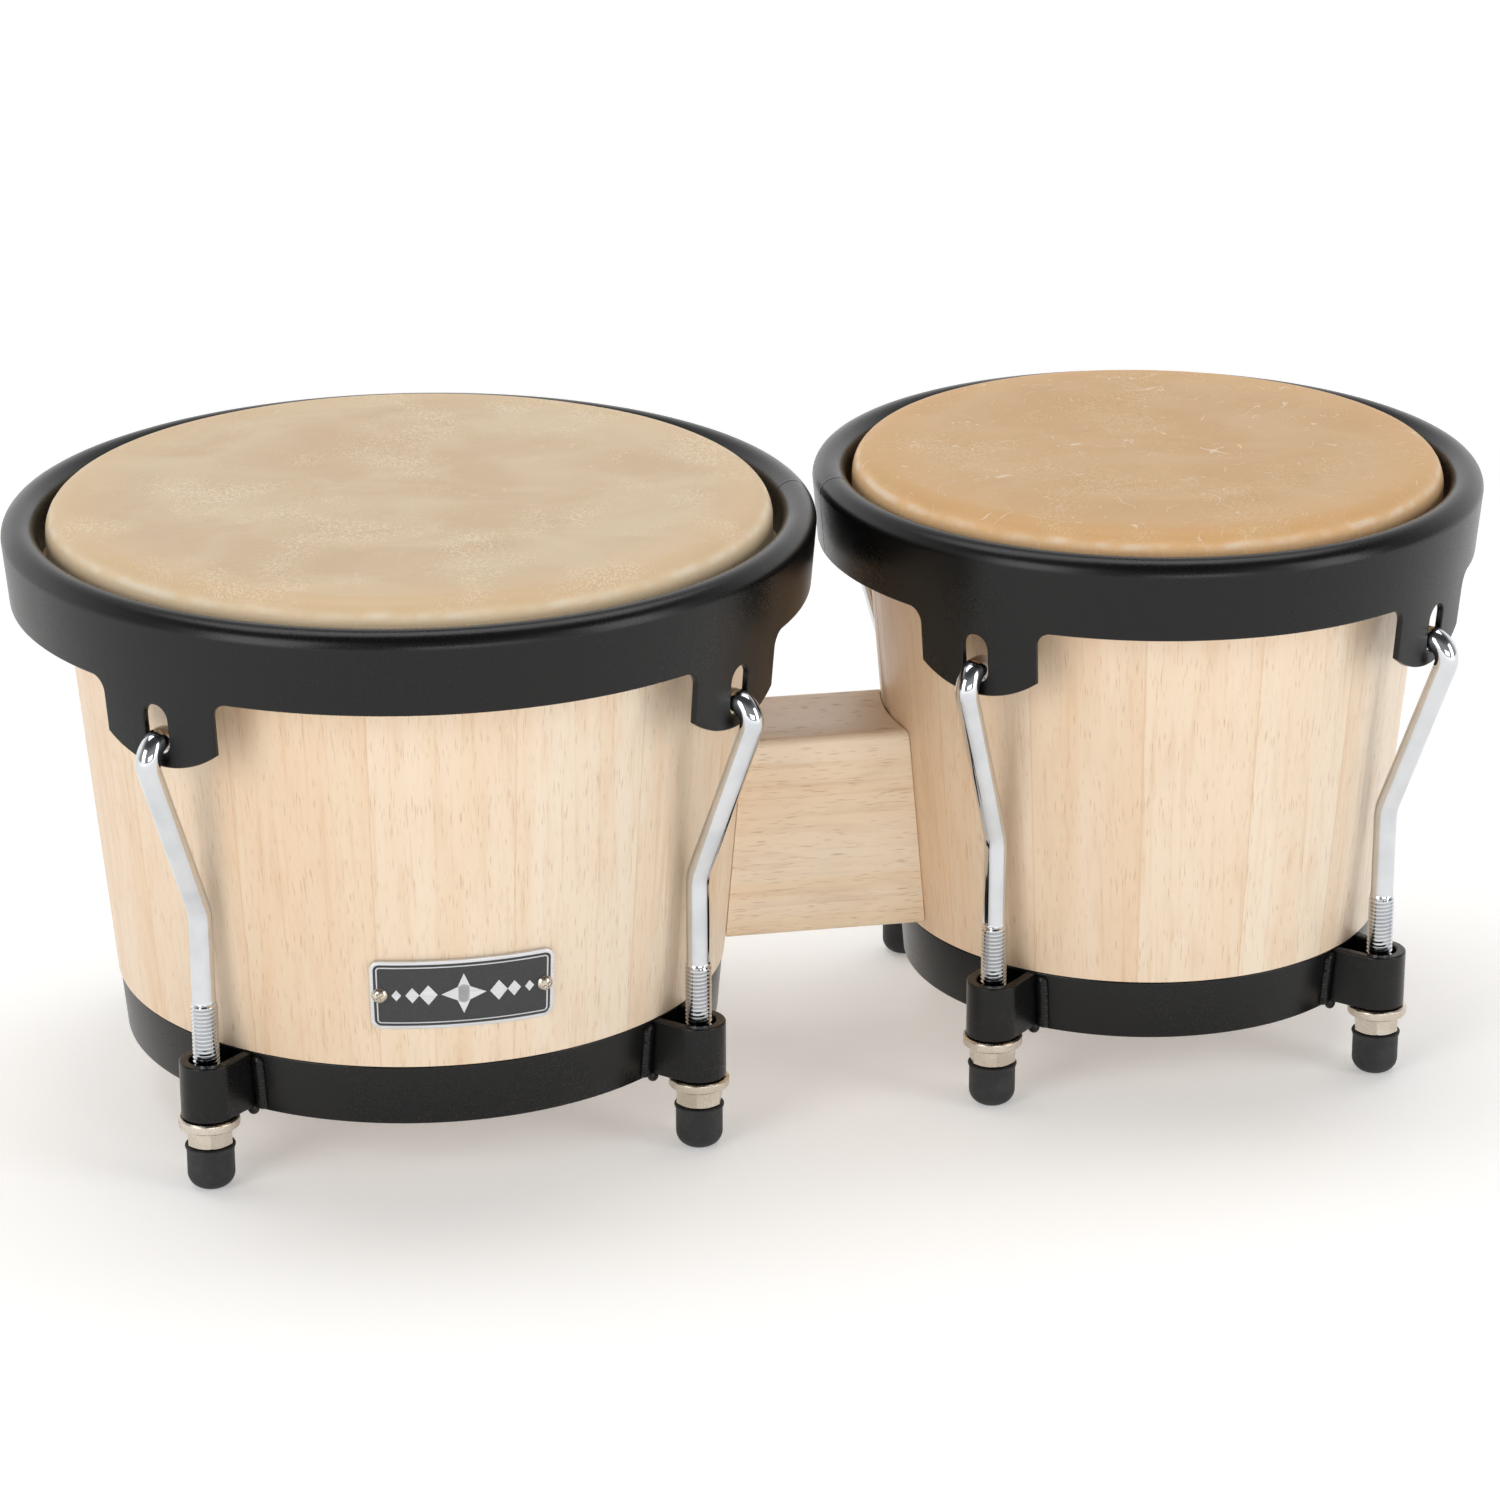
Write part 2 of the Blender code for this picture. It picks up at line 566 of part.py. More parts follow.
def build_feet(drum, mount):
    """Rubber feet pushed on the lower ends of the hooks."""
    bore = bore_radius(THREAD_RADIUS, TOUCH, HEX_ROUND)
    lip = FOOT_RADIUS + FOOT_LIP
    floor = ROD_END_Z - TOUCH
    lip_z = FOOT_TOP_Z - FOOT_LIP_HEIGHT
    profile = [(0.0, 0.0)]
    profile += arc((FOOT_FLAT_RADIUS, FOOT_ROUNDING), FOOT_ROUNDING, -math.pi / 2, 0, KINK_STEPS)
    profile += [(FOOT_RADIUS, lip_z), (lip, lip_z + FOOT_LIP), (lip, FOOT_TOP_Z)]
    profile += [(bore, FOOT_TOP_Z), (bore, floor), (0.0, floor)]
    mesh = lathe(f"{drum.name}_foot", profile, facets=HEX_ROUND, closed=False)
    mesh.materials.append(bpy.data.materials["black_rubber"])
    mesh.shade_smooth()
    mesh.set_sharp_from_angle(angle=SMOOTH_ANGLE)
    for corner in drum.corners():
        angle = math.radians(corner)
        foot = bpy.data.objects.new(f"{drum.name}_foot_{CORNER_NAMES[corner]}", mesh)
        bpy.context.scene.collection.objects.link(foot)
        foot.parent = mount
        foot.location = (drum.hook_circle() * math.cos(angle), drum.hook_circle() * math.sin(angle), 0)


# ---------------------------------------------------------------- centre block and its bolts
def spot_face_x(drum, z):
    """Distance from a drum's axis to the flat seat that its inner wall has for a washer."""
    lowest = drum.shell_radius(z - WASHER_RADIUS) - SHELL_WALL
    return math.sqrt(lowest**2 - WASHER_RADIUS**2) + SHELL_WALL * SEAT_SHARE


def build_block():
    """Wooden block between the shells, with ends hollowed to fit them."""
    left, right = LARGE.axis_x, SMALL.axis_x
    half = BLOCK_DEPTH / 2
    bm = bmesh.new()
    size = Vector((right - left, BLOCK_DEPTH, BLOCK_HEIGHT))
    place = Matrix.Translation(((left + right) / 2, 0, BLOCK_CENTRE_Z)) @ Matrix.Diagonal((*size, 1))
    bmesh.ops.create_cube(bm, size=1, matrix=place)
    long_edges = [e for e in bm.edges if abs(e.verts[0].co.x - e.verts[1].co.x) > half]
    bmesh.ops.bevel(
        bm, geom=long_edges, offset=BLOCK_ROUNDING, segments=SHOULDER_STEPS,
        profile=0.5, affect="EDGES", material=-1,
    )
    block = add_object("centre_block", finish_mesh("centre_block", bm), "rubberwood")
    for drum in (LARGE, SMALL):
        low, high = BLOCK_BOTTOM_Z - CUT_MARGIN, BLOCK_BOTTOM_Z + BLOCK_HEIGHT + CUT_MARGIN
        foot, head = drum.shell_radius(low) + TOUCH, drum.shell_radius(high) + TOUCH
        name = f"{drum.name}_block_end_cutter"
        cutter = add_cutter(name, lathe(name, [(0, low), (foot, low), (head, high), (0, high)], closed=False))
        cutter.location.x = drum.axis_x
        cut(block, cutter)
    return block


def build_bolts(block, shells):
    """Two bolts through both shells and the block, with washers and nuts inside the shells."""
    hole = bore_radius(BOLT_RADIUS, TOUCH)
    for level, z in BOLT_HEIGHTS.items():
        large_seat = LARGE.axis_x + spot_face_x(LARGE, z)
        small_seat = SMALL.axis_x - spot_face_x(SMALL, z)
        washer_gap = WASHER_THICKNESS + 2 * TOUCH
        name = f"bolt_hole_cutter_{level}"
        length = small_seat - large_seat
        ends = (-CUT_MARGIN, length + CUT_MARGIN)
        mesh = prism(name, [regular(SMALL_ROUND, hole)], *ends, along_x(large_seat, 0, z))
        cutter = add_cutter(name, mesh)
        for target in (block, *shells):
            cut(target, cutter)
        seat = regular(SMALL_ROUND, WASHER_RADIUS + 2 * TOUCH)
        seats = ((LARGE, shells[0], large_seat, -1), (SMALL, shells[1], small_seat, 1))
        for drum, shell, seat_x, way in seats:
            name = f"{drum.name}_seat_cutter_{level}"
            ends = sorted((0.0, way * SHELL_WALL))
            cut(shell, add_cutter(name, prism(name, [seat], *ends, along_x(seat_x, 0, z))))
            ends = sorted((way * TOUCH, way * (TOUCH + WASHER_THICKNESS)))
            name = f"{drum.name}_washer_{level}"
            disc = regular(SMALL_ROUND, WASHER_RADIUS)
            mesh = drilled_prism(name, disc, hole, *ends, along_x(seat_x, 0, z))
            add_object(name, mesh, "zinc_steel")
        build_bolt(level, large_seat - washer_gap, small_seat + washer_gap, z)


def build_bolt(level, head_x, nut_x, z):
    """One hexagon bolt, head in the large drum, and its nut in the small drum."""
    length = nut_x - head_x + BLOCK_NUT_HEIGHT + BOLT_SPARE
    wrench, shank = hexagon(BOLT_HEAD_FLATS), regular(HEX_ROUND, BOLT_RADIUS)
    levels = ((wrench, -BOLT_HEAD_HEIGHT), (wrench, 0.0), (shank, 0.0), (shank, length))
    name = f"block_bolt_{level}"
    add_object(name, stack(name, levels, along_x(head_x, 0, z), bored=False), "zinc_steel")
    name = f"block_nut_{level}"
    bore = bore_radius(BOLT_RADIUS, THREAD_PLAY, HEX_ROUND)
    mesh = drilled_prism(name, wrench, bore, 0, BLOCK_NUT_HEIGHT, along_x(nut_x, 0, z))
    add_object(name, mesh, "zinc_steel")


# ---------------------------------------------------------------- badge
def build_badge(shell):
    """Curved plate on the front of the large drum, held by two round-head screws."""
    low, high = BADGE_CENTRE_Z - BADGE_HEIGHT / 2, BADGE_CENTRE_Z + BADGE_HEIGHT / 2
    back = LARGE.shell_radius(BADGE_CENTRE_Z) + TOUCH
    half_turn = BADGE_WIDTH / 2 / back
    lower, upper = LARGE.shell_radius(low) + TOUCH, LARGE.shell_radius(high) + TOUCH
    profile = [(lower, low), (lower + BADGE_THICKNESS, low), (upper + BADGE_THICKNESS, high), (upper, high)]
    start = -math.pi / 2 - half_turn
    mesh = lathe("badge", profile, facets=BADGE_STEPS, turn=2 * half_turn, start=start)
    badge = add_object("badge", mesh, "badge_plate")
    badge.location.x = LARGE.axis_x
    front = back + BADGE_THICKNESS
    for side, way in (("left", -1), ("right", 1)):
        angle = -math.pi / 2 + way * BADGE_SCREW_SPACING / 2 / back
        lean = Matrix.Translation((0, 0, BADGE_CENTRE_Z)) @ facing(angle)
        hole = [regular(PILOT_ROUND, SCREW_SHANK_RADIUS + 2 * TOUCH)]
        name = f"badge_screw_cutter_{side}"
        mesh = prism(name, hole, front - SCREW_LENGTH - MM, front + MM, lean)
        cutter = add_cutter(name, mesh)
        cutter.location.x = LARGE.axis_x
        cut(badge, cutter)
        cut(shell, cutter)
        build_badge_screw(f"badge_screw_{side}", front, lean)


def build_badge_screw(name, front, lean):
    """Round-head screw: a domed head over the plate and a shank through it into the shell."""
    seat = TOUCH * 2
    width, height = DOME_SHOULDER
    dome = [(SCREW_HEAD_RADIUS, seat), (SCREW_HEAD_RADIUS * width, seat + SCREW_HEAD_HEIGHT * height)]
    dome.append((0.0, seat + SCREW_HEAD_HEIGHT))
    profile = [(0.0, -SCREW_LENGTH), (SCREW_SHANK_RADIUS, -SCREW_LENGTH), (SCREW_SHANK_RADIUS, seat)] + dome
    mesh = lathe(name, profile, facets=HEX_ROUND, closed=False)
    mesh.transform(lean @ Matrix.Translation((0, 0, front)))
    screw = add_object(name, mesh, "chrome")
    screw.location.x = LARGE.axis_x


# ---------------------------------------------------------------- assembly
def build_drum(drum):
    """Everything that belongs to one drum; returns its shell."""
    frame = bpy.data.objects.new(f"{drum.name}_frame", None)
    tuning = bpy.data.objects.new(f"{drum.name}_tuning", None)
    for empty in (frame, tuning):
        bpy.context.scene.collection.objects.link(empty)
        empty.location.x = drum.axis_x
    shell = build_shell(drum, frame)
    build_head(drum, frame)
    build_bottom_ring(drum, frame)
    build_lugs(drum, frame)
    build_flesh_hoop(drum, tuning)
    build_rim(drum, tuning)
    build_hooks(drum, tuning)
    build_feet(drum, tuning)
    for corner in drum.corners():
        build_nut(drum, corner)
    return shell


def main():
    """Clear the scene and build the pair."""
    for thing in list(bpy.data.objects):
        bpy.data.objects.remove(thing, do_unlink=True)
    for name in FINISHES:
        make_material(name)
    shells = [build_drum(drum) for drum in (LARGE, SMALL)]
    block = build_block()
    build_bolts(block, shells)
    build_badge(shells[0])


main()
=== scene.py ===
"""Fine shapes and finishes of a pair of bongo drums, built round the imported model.

The large drum stands at -X and the small one at +X; the badge faces -Y and +Z is up. Sizes are in metres.
"""

import logging
import math
from collections.abc import Callable, Iterable, Sequence
from dataclasses import dataclass
from enum import Enum
from functools import cache

import bmesh
import bpy
from mathutils import Matrix, Vector, noise


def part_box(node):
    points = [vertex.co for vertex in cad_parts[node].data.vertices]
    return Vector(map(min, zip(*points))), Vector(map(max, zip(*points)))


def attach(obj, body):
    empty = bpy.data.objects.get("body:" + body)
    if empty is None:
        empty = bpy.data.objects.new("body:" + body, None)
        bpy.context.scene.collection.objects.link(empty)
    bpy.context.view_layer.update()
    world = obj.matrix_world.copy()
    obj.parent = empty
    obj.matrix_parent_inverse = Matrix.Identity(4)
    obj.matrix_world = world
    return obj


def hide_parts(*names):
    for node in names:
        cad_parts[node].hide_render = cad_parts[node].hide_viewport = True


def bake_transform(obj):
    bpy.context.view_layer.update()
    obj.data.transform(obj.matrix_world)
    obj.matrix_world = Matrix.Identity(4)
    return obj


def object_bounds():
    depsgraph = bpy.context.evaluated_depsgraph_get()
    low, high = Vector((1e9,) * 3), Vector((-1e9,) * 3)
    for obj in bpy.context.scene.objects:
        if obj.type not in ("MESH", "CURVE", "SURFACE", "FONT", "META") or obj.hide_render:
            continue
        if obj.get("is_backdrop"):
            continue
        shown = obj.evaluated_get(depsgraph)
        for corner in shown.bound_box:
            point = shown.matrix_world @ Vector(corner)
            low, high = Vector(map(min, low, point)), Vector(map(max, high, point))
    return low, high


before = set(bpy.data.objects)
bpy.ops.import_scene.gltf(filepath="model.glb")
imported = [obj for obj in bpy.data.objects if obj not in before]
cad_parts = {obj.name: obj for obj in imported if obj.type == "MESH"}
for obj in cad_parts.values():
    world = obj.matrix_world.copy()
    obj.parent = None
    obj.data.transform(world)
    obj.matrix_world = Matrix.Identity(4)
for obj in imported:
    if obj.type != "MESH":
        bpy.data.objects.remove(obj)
CAD_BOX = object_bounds()

BMesh, Edge, Vert = bmesh.types.BMesh, bmesh.types.BMEdge, bmesh.types.BMVert
Material, Object, Socket = bpy.types.Material, bpy.types.Object, bpy.types.NodeSocket
Point = tuple[float, float]
Sizes = tuple[float, float, float]
Level = Callable[[float], float]
log = logging.getLogger("bongo_drums")

MM = 0.001
FULL = 2 * math.pi
QUARTER = math.pi / 2
SIXTH = math.pi / 3
SHELL_TAPER = math.radians(5.0)
SHELL_WALL = 11.5 * MM
BAND_SHEET = 2.0 * MM
PROUD = 0.5 * MM  # the wood stands this much proud of the band
TOUCH = 0.3 * MM  # free space between two pieces that touch
DOUBLE = MM / 1000  # points closer than this become one
ROUND = 256  # steps of a full turn on drums, rims and rings
FINE = 48  # steps of a full turn on nuts, feet and washers
ROD_SIDES = 24
CORNERS = {"back_right": 45, "back_left": 135, "front_left": 225, "front_right": 315}
BLOCK_LEVELS = ("upper", "lower")
EASED = {"interpolation_type": "SMOOTHSTEP"}
MIDTONES = (0.3, 0.7)  # nearly all noise lies between these values


class Slot(Enum):
    """The record's material slots."""

    WOOD = "rubberwood"
    SKIN = "rawhide"
    BLACK_STEEL = "powder_coated_steel"
    CHROME = "chrome"
    NICKEL = "nickel_plated_steel"
    ZINC = "zinc_plated_steel"
    RUBBER = "rubber"
    BADGE = "badge_enamel"


class Grain(Enum):
    """How a wooden piece is cut: a ring of upright staves, or one board lying along X."""

    STAVES = "staves"
    BOARD = "board"


@cache
def box(node: str) -> tuple[Vector, Vector]:
    """Give the lowest and highest corner of a CAD node."""
    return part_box(node)


# ---------------------------------------------------------------- shape helpers
def shift(x: float = 0.0, y: float = 0.0, z: float = 0.0) -> Matrix:
    """Give a move."""
    return Matrix.Translation((x, y, z))


def swing(angle: float, axis: str = "Z") -> Matrix:
    """Give a turn about an axis."""
    return Matrix.Rotation(angle, 4, axis)


def stretch(x: float, y: float, z: float) -> Matrix:
    """Give a scaling."""
    return Matrix.Diagonal((x, y, z, 1))


def placed(bm: BMesh, place: Matrix) -> BMesh:
    """Move a whole mesh to its place and give it back."""
    bmesh.ops.transform(bm, matrix=place, verts=bm.verts)
    return bm


def everything(bm: BMesh) -> list:
    """List all points, edges and faces of a mesh."""
    return bm.verts[:] + bm.edges[:] + bm.faces[:]


def arc(centre: Point, radius: float, start: float, end: float, steps: int) -> list[Point]:
    """Give the points of an arc.

    Args:
        centre: Middle of the arc.
        radius: Radius of the arc.
        start: Angle of the first point, in radians.
        end: Angle of the last point, in radians.
        steps: Number of straight steps.

    Returns:
        The points, both ends included.
    """
    turns = [start + (end - start) * i / steps for i in range(steps + 1)]
    return [(centre[0] + radius * math.cos(a), centre[1] + radius * math.sin(a)) for a in turns]


def filleted(corners: Sequence[Sizes], steps: int) -> list[Point]:
    """Round the corners of a closed outline.

    Args:
        corners: Corners as (x, y, radius); a radius of 0 keeps the corner.
        steps: Straight steps in each rounded corner.

    Returns:
        The points of the rounded outline.
    """
    outline = []
    for i, (x, y, radius) in enumerate(corners):
        here = Vector((x, y))
        if radius <= 0:
            outline.append((x, y))
            continue
        back = (Vector(corners[i - 1][:2]) - here).normalized()
        ahead = (Vector(corners[(i + 1) % len(corners)][:2]) - here).normalized()
        half = back.angle(ahead) / 2
        centre = here + (back + ahead).normalized() * radius / math.sin(half)
        first = here + back * radius / math.tan(half) - centre
        last = here + ahead * radius / math.tan(half) - centre
        sweep = first.angle_signed(last)
        for k in range(steps + 1):
            spoke = first.copy()
            spoke.rotate(Matrix.Rotation(-sweep * k / steps, 2))
            outline.append(tuple(centre + spoke))
    return outline


def tidied(bm: BMesh, distance: float = DOUBLE) -> BMesh:
    """Merge the doubles of a mesh and turn its faces outwards.

    Args:
        bm: The mesh.
        distance: Points closer than this become one.

    Returns:
        The same mesh.
    """
    bmesh.ops.remove_doubles(bm, verts=bm.verts, dist=distance)
    bmesh.ops.recalc_face_normals(bm, faces=bm.faces)
    return bm


def turned(profile: Sequence[Point], steps: int = ROUND, closed: bool = True) -> BMesh:
    """Turn a profile of (radius, height) points a full turn about Z.

    Args:
        profile: The points; an open profile starts and ends on the axis.
        steps: Steps of the full turn.
        closed: Whether the last point joins the first.

    Returns:
        The turned mesh.
    """
    bm = bmesh.new()
    spin_chain(bm, profile, steps, closed)
    return tidied(bm)


def spin_chain(bm: BMesh, profile: Sequence[Point], steps: int, closed: bool) -> None:
    """Add a chain of (radius, height) points to a mesh and spin it a full turn about Z.

    Args:
        bm: The mesh that the surface is added to.
        profile: The points of the chain.
        steps: Steps of the full turn.
        closed: Whether the last point joins the first.
    """
    verts = [bm.verts.new((r, 0, z)) for r, z in profile]
    pairs = list(zip(verts, verts[1:])) + ([(verts[-1], verts[0])] if closed else [])
    edges = [bm.edges.new(pair) for pair in pairs]
    bmesh.ops.spin(
        bm, geom=verts + edges, cent=(0, 0, 0), axis=(0, 0, 1), angle=FULL, steps=steps, use_merge=True
    )


def loft(rings: Sequence[Sequence[Vector]], bored: bool = False) -> BMesh:
    """Extrude a loop through rings of equal point counts.

    Args:
        rings: The points of each ring.
        bored: Whether the last ring joins the first; otherwise both ends are filled.

    Returns:
        The closed mesh.
    """
    bm = bmesh.new()
    ring = [bm.verts.new(p) for p in rings[0]]
    first = ring
    edges = [bm.edges.new(pair) for pair in zip(ring, ring[1:] + ring[:1])]
    for points in list(rings[1:]) + ([rings[0]] if bored else []):
        grown = bmesh.ops.extrude_edge_only(bm, edges=edges)["geom"]
        edges = [e for e in grown if isinstance(e, Edge)]
        fresh = {v for v in grown if isinstance(v, Vert)}
        ring = [next(e.other_vert(v) for e in v.link_edges if e.other_vert(v) in fresh) for v in ring]
        for vert, point in zip(ring, points):
            vert.co = point
    if not bored:
        bm.faces.new(first)
        bm.faces.new(ring)
    return tidied(bm)


def extruded(outline: Sequence[Point], place: Matrix, depth: float) -> BMesh:
    """Extrude a flat outline along its own +w axis.

    Args:
        outline: The (u, v) points.
        place: Turns (u, v, w) into x, y, z.
        depth: Length of the extrusion.

    Returns:
        The closed solid.
    """
    bm = bmesh.new()
    face = bm.faces.new([bm.verts.new((u, v, 0)) for u, v in outline])
    grown = bmesh.ops.extrude_face_region(bm, geom=[face], use_keep_orig=True)["geom"]
    bmesh.ops.translate(bm, verts=[v for v in grown if isinstance(v, Vert)], vec=(0, 0, depth))
    return tidied(placed(bm, place))


def soften(bm: BMesh, edges: Iterable[Edge], width: float, segments: int) -> None:
    """Round edges off.

    Args:
        bm: The mesh.
        edges: The edges to round.
        width: Width of the rounding.
        segments: Steps across it.
    """
    bmesh.ops.bevel(
        bm, geom=list(edges), offset=width, segments=segments, profile=0.5, affect="EDGES", material=-1
    )


def creases(bm: BMesh, degrees: float) -> list[Edge]:
    """List the edges that fold by more than an angle."""
    limit = math.radians(degrees)
    return [e for e in bm.edges if len(e.link_faces) == 2 and e.calc_face_angle() > limit]


def slice_at(bm: BMesh, axis: int, stations: Iterable[float]) -> None:
    """Cut a mesh at planes across an axis, so that it can bend.

    Args:
        bm: The mesh.
        axis: The axis, 0 to 2.
        stations: Places of the cuts along the axis.
    """
    normal = [float(k == axis) for k in range(3)]
    for station in stations:
        point = [station * n for n in normal]
        bmesh.ops.bisect_plane(bm, geom=everything(bm), dist=DOUBLE / 10, plane_co=point, plane_no=normal)


def wrap_round(bm: BMesh, radius_at: Level, length_radius: float, turn: float) -> None:
    """Bend a flat panel, x along, y outwards and z up, round the Z axis.

    Args:
        bm: The panel.
        radius_at: Gives the radius at a height.
        length_radius: Radius at which lengths along the panel stay true.
        turn: Angle of the panel's x = 0, in radians.
    """
    for vert in bm.verts:
        angle, reach = turn + vert.co.x / length_radius, radius_at(vert.co.z) + vert.co.y
        vert.co = (reach * math.cos(angle), reach * math.sin(angle), vert.co.z)
    bmesh.ops.recalc_face_normals(bm, faces=bm.faces)


def joined(parts: Iterable[BMesh]) -> BMesh:
    """Put several meshes into one and free them.

    Args:
        parts: The meshes.

    Returns:
        The new mesh.
    """
    whole = bmesh.new()
    for part in parts:
        mesh = bpy.data.meshes.new("part")
        part.to_mesh(mesh)
        part.free()
        whole.from_mesh(mesh)
        bpy.data.meshes.remove(mesh)
    return whole


def hexagon_radius(flats: float, angle: float) -> float:
    """Give the distance from a hexagon's middle to its side at an angle, with corners at 0, 60, ...."""
    return flats / 2 / math.cos(angle % SIXTH - SIXTH / 2)


def ring_points(radius: Level | float, height: Level | float) -> list[Vector]:
    """Give the FINE points of one ring about Z.

    Args:
        radius: The radius, or a function of the angle.
        height: The height, or a function of the angle.

    Returns:
        The points.
    """
    points = []
    for k in range(FINE):
        a = FULL * k / FINE
        r = radius(a) if callable(radius) else radius
        z = height(a) if callable(height) else height
        points.append(Vector((r * math.cos(a), r * math.sin(a), z)))
    return points


def to_object(name: str, bm: BMesh, materials: Sequence[Material], smooth: float = 38) -> Object:
    """Make an object of a mesh, shaded smooth up to an angle.

    Args:
        name: Name of the object.
        bm: Its mesh, already in place, which is freed.
        materials: Its finishes.
        smooth: Edges that fold more than this many degrees stay sharp.

    Returns:
        The object.
    """
    mesh = bpy.data.meshes.new(name)
    bm.to_mesh(mesh)
    bm.free()
    for material in materials:
        mesh.materials.append(material)
    mesh.shade_smooth()
    mesh.set_sharp_from_angle(angle=math.radians(smooth))
    thing = bpy.data.objects.new(name, mesh)
    bpy.context.scene.collection.objects.link(thing)
    return thing


def post(thing: Object, body: str | None, node: str, slot: Slot, weighted: bool = False) -> None:
    """Hang a finished object on its body, hide the CAD node it stands for and report it.

    Args:
        thing: The object.
        body: The body it rides on, or None, which leaves it on no body.
        node: The CAD node it stands for.
        slot: The record's slot of its finish; not used.
        weighted: Whether broad faces lead the shading next to narrow roundings.
    """
    if weighted:
        thing.modifiers.new("weighted_normals", "WEIGHTED_NORMAL").keep_sharp = True
    if body:
        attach(thing, body)
    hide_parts(node)
    log.info("%s rides on %s, %d faces", thing.name, body or "two bodies", len(thing.data.polygons))


def carve(thing: Object, cutters: Sequence[BMesh]) -> None:
    """Subtract solids from an object and keep the result as its mesh.

    Args:
        thing: The object to cut.
        cutters: The solids, which are used up.
    """
    tools = [to_object(f"cutter_{i}", cutter, []) for i, cutter in enumerate(cutters)]
    for tool in tools:
        modifier = thing.modifiers.new(tool.name, "BOOLEAN")
        modifier.operation, modifier.solver, modifier.object = "DIFFERENCE", "EXACT", tool
    evaluated = thing.evaluated_get(bpy.context.evaluated_depsgraph_get())
    mesh = bpy.data.meshes.new_from_object(evaluated)
    thing.modifiers.clear()
    thing.data = mesh
    mesh.name = thing.name
    for tool in tools:
        bpy.data.objects.remove(tool, do_unlink=True)


# ---------------------------------------------------------------- finishes
# In the recipes, a speckle's sizes are those of the real marks. A MapRange's first two numbers are the noise
# values or distances between which a mark comes in, and the last two the strengths it has there.
def linear(hex_colour: str) -> tuple[float, float, float, float]:
    """Turn six sRGB hex digits into linear RGBA."""
    parts = [int(hex_colour[i:i + 2], 16) / 255 for i in (0, 2, 4)]
    return (*(c / 12.92 if c <= 0.04045 else ((c + 0.055) / 1.055) ** 2.4 for c in parts), 1.0)


@dataclass
class Nodes:
    """A node tree and how it grows."""

    tree: bpy.types.NodeTree

    def add(self, kind: str, *values: object, out: int | str = 0, **named: object) -> Socket:
        """Add a node with its values, links and settings.

        Args:
            kind: The node's type, without the "ShaderNode" in front.
            values: A value or a linked socket for each input in turn.
            out: Name or number of the output to give.
            named: Inputs by their names, which start with a capital, and the node's own settings.

        Returns:
            The output's socket.
        """
        fresh = self.tree.nodes.new("ShaderNode" + kind)
        inputs = dict(enumerate(values))
        for key, value in named.items():
            if key[0].isupper():
                inputs[key] = value
            else:
                setattr(fresh, key, value)
        for key, value in inputs.items():
            if isinstance(value, Socket):
                self.tree.links.new(value, fresh.inputs[key])
            else:
                fresh.inputs[key].default_value = value
        return fresh.outputs[out]

    def speckle(self, place: Socket, size: Sizes | float, detail: float = 2.0, bend: float = 0.0) -> Socket:
        """Sample noise whose blobs have a real size.

        Args:
            place: Coordinates in metres.
            size: Size of a blob in metres, one number or one for each axis.
            detail: Finer octaves.
            bend: How far the noise bends itself.

        Returns:
            The noise's value socket.
        """
        sizes = (size,) * 3 if isinstance(size, float) else size
        scaled = self.add("Mapping", place, Scale=[1 / s for s in sizes])
        return self.add("TexNoise", scaled, Scale=1.0, Detail=detail, Distortion=bend)


class Recipe(Nodes):
    """A material's nodes round one Principled shader."""

    def __init__(self, name: str, **values: object) -> None:
        """Start the material.

        Args:
            name: Name of the material.
            values: Constants of the shader's own sockets, with _ for a space.
        """
        self.material = bpy.data.materials.new(name)
        self.material.use_nodes = True
        super().__init__(self.material.node_tree)
        self.shader = self.tree.nodes["Principled BSDF"]
        for key, value in values.items():
            self.shader.inputs[key.replace("_", " ").title().replace("Ior", "IOR")].default_value = value
        self.place = self.add("TexCoord", out="Object")

    def centred(self, x: float) -> Socket:
        """Give coordinates whose Z axis is the drum's."""
        return self.add("Mapping", self.place, Location=(-x, 0, 0))

    def finish(self, colour: Socket, rough: Socket, height: Socket, depth: float) -> Material:
        """Link the shader's colour, roughness and relief.

        Args:
            colour: The base colour.
            rough: The roughness.
            height: Height of the relief, from 0 to 1.
            depth: Depth of the relief in metres.

        Returns:
            The finished material.
        """
        bump = self.add("Bump", Strength=1.0, Distance=depth, Height=height)
        for name, socket in (("Base Color", colour), ("Roughness", rough), ("Normal", bump)):
            self.tree.links.new(socket, self.shader.inputs[name])
        return self.material


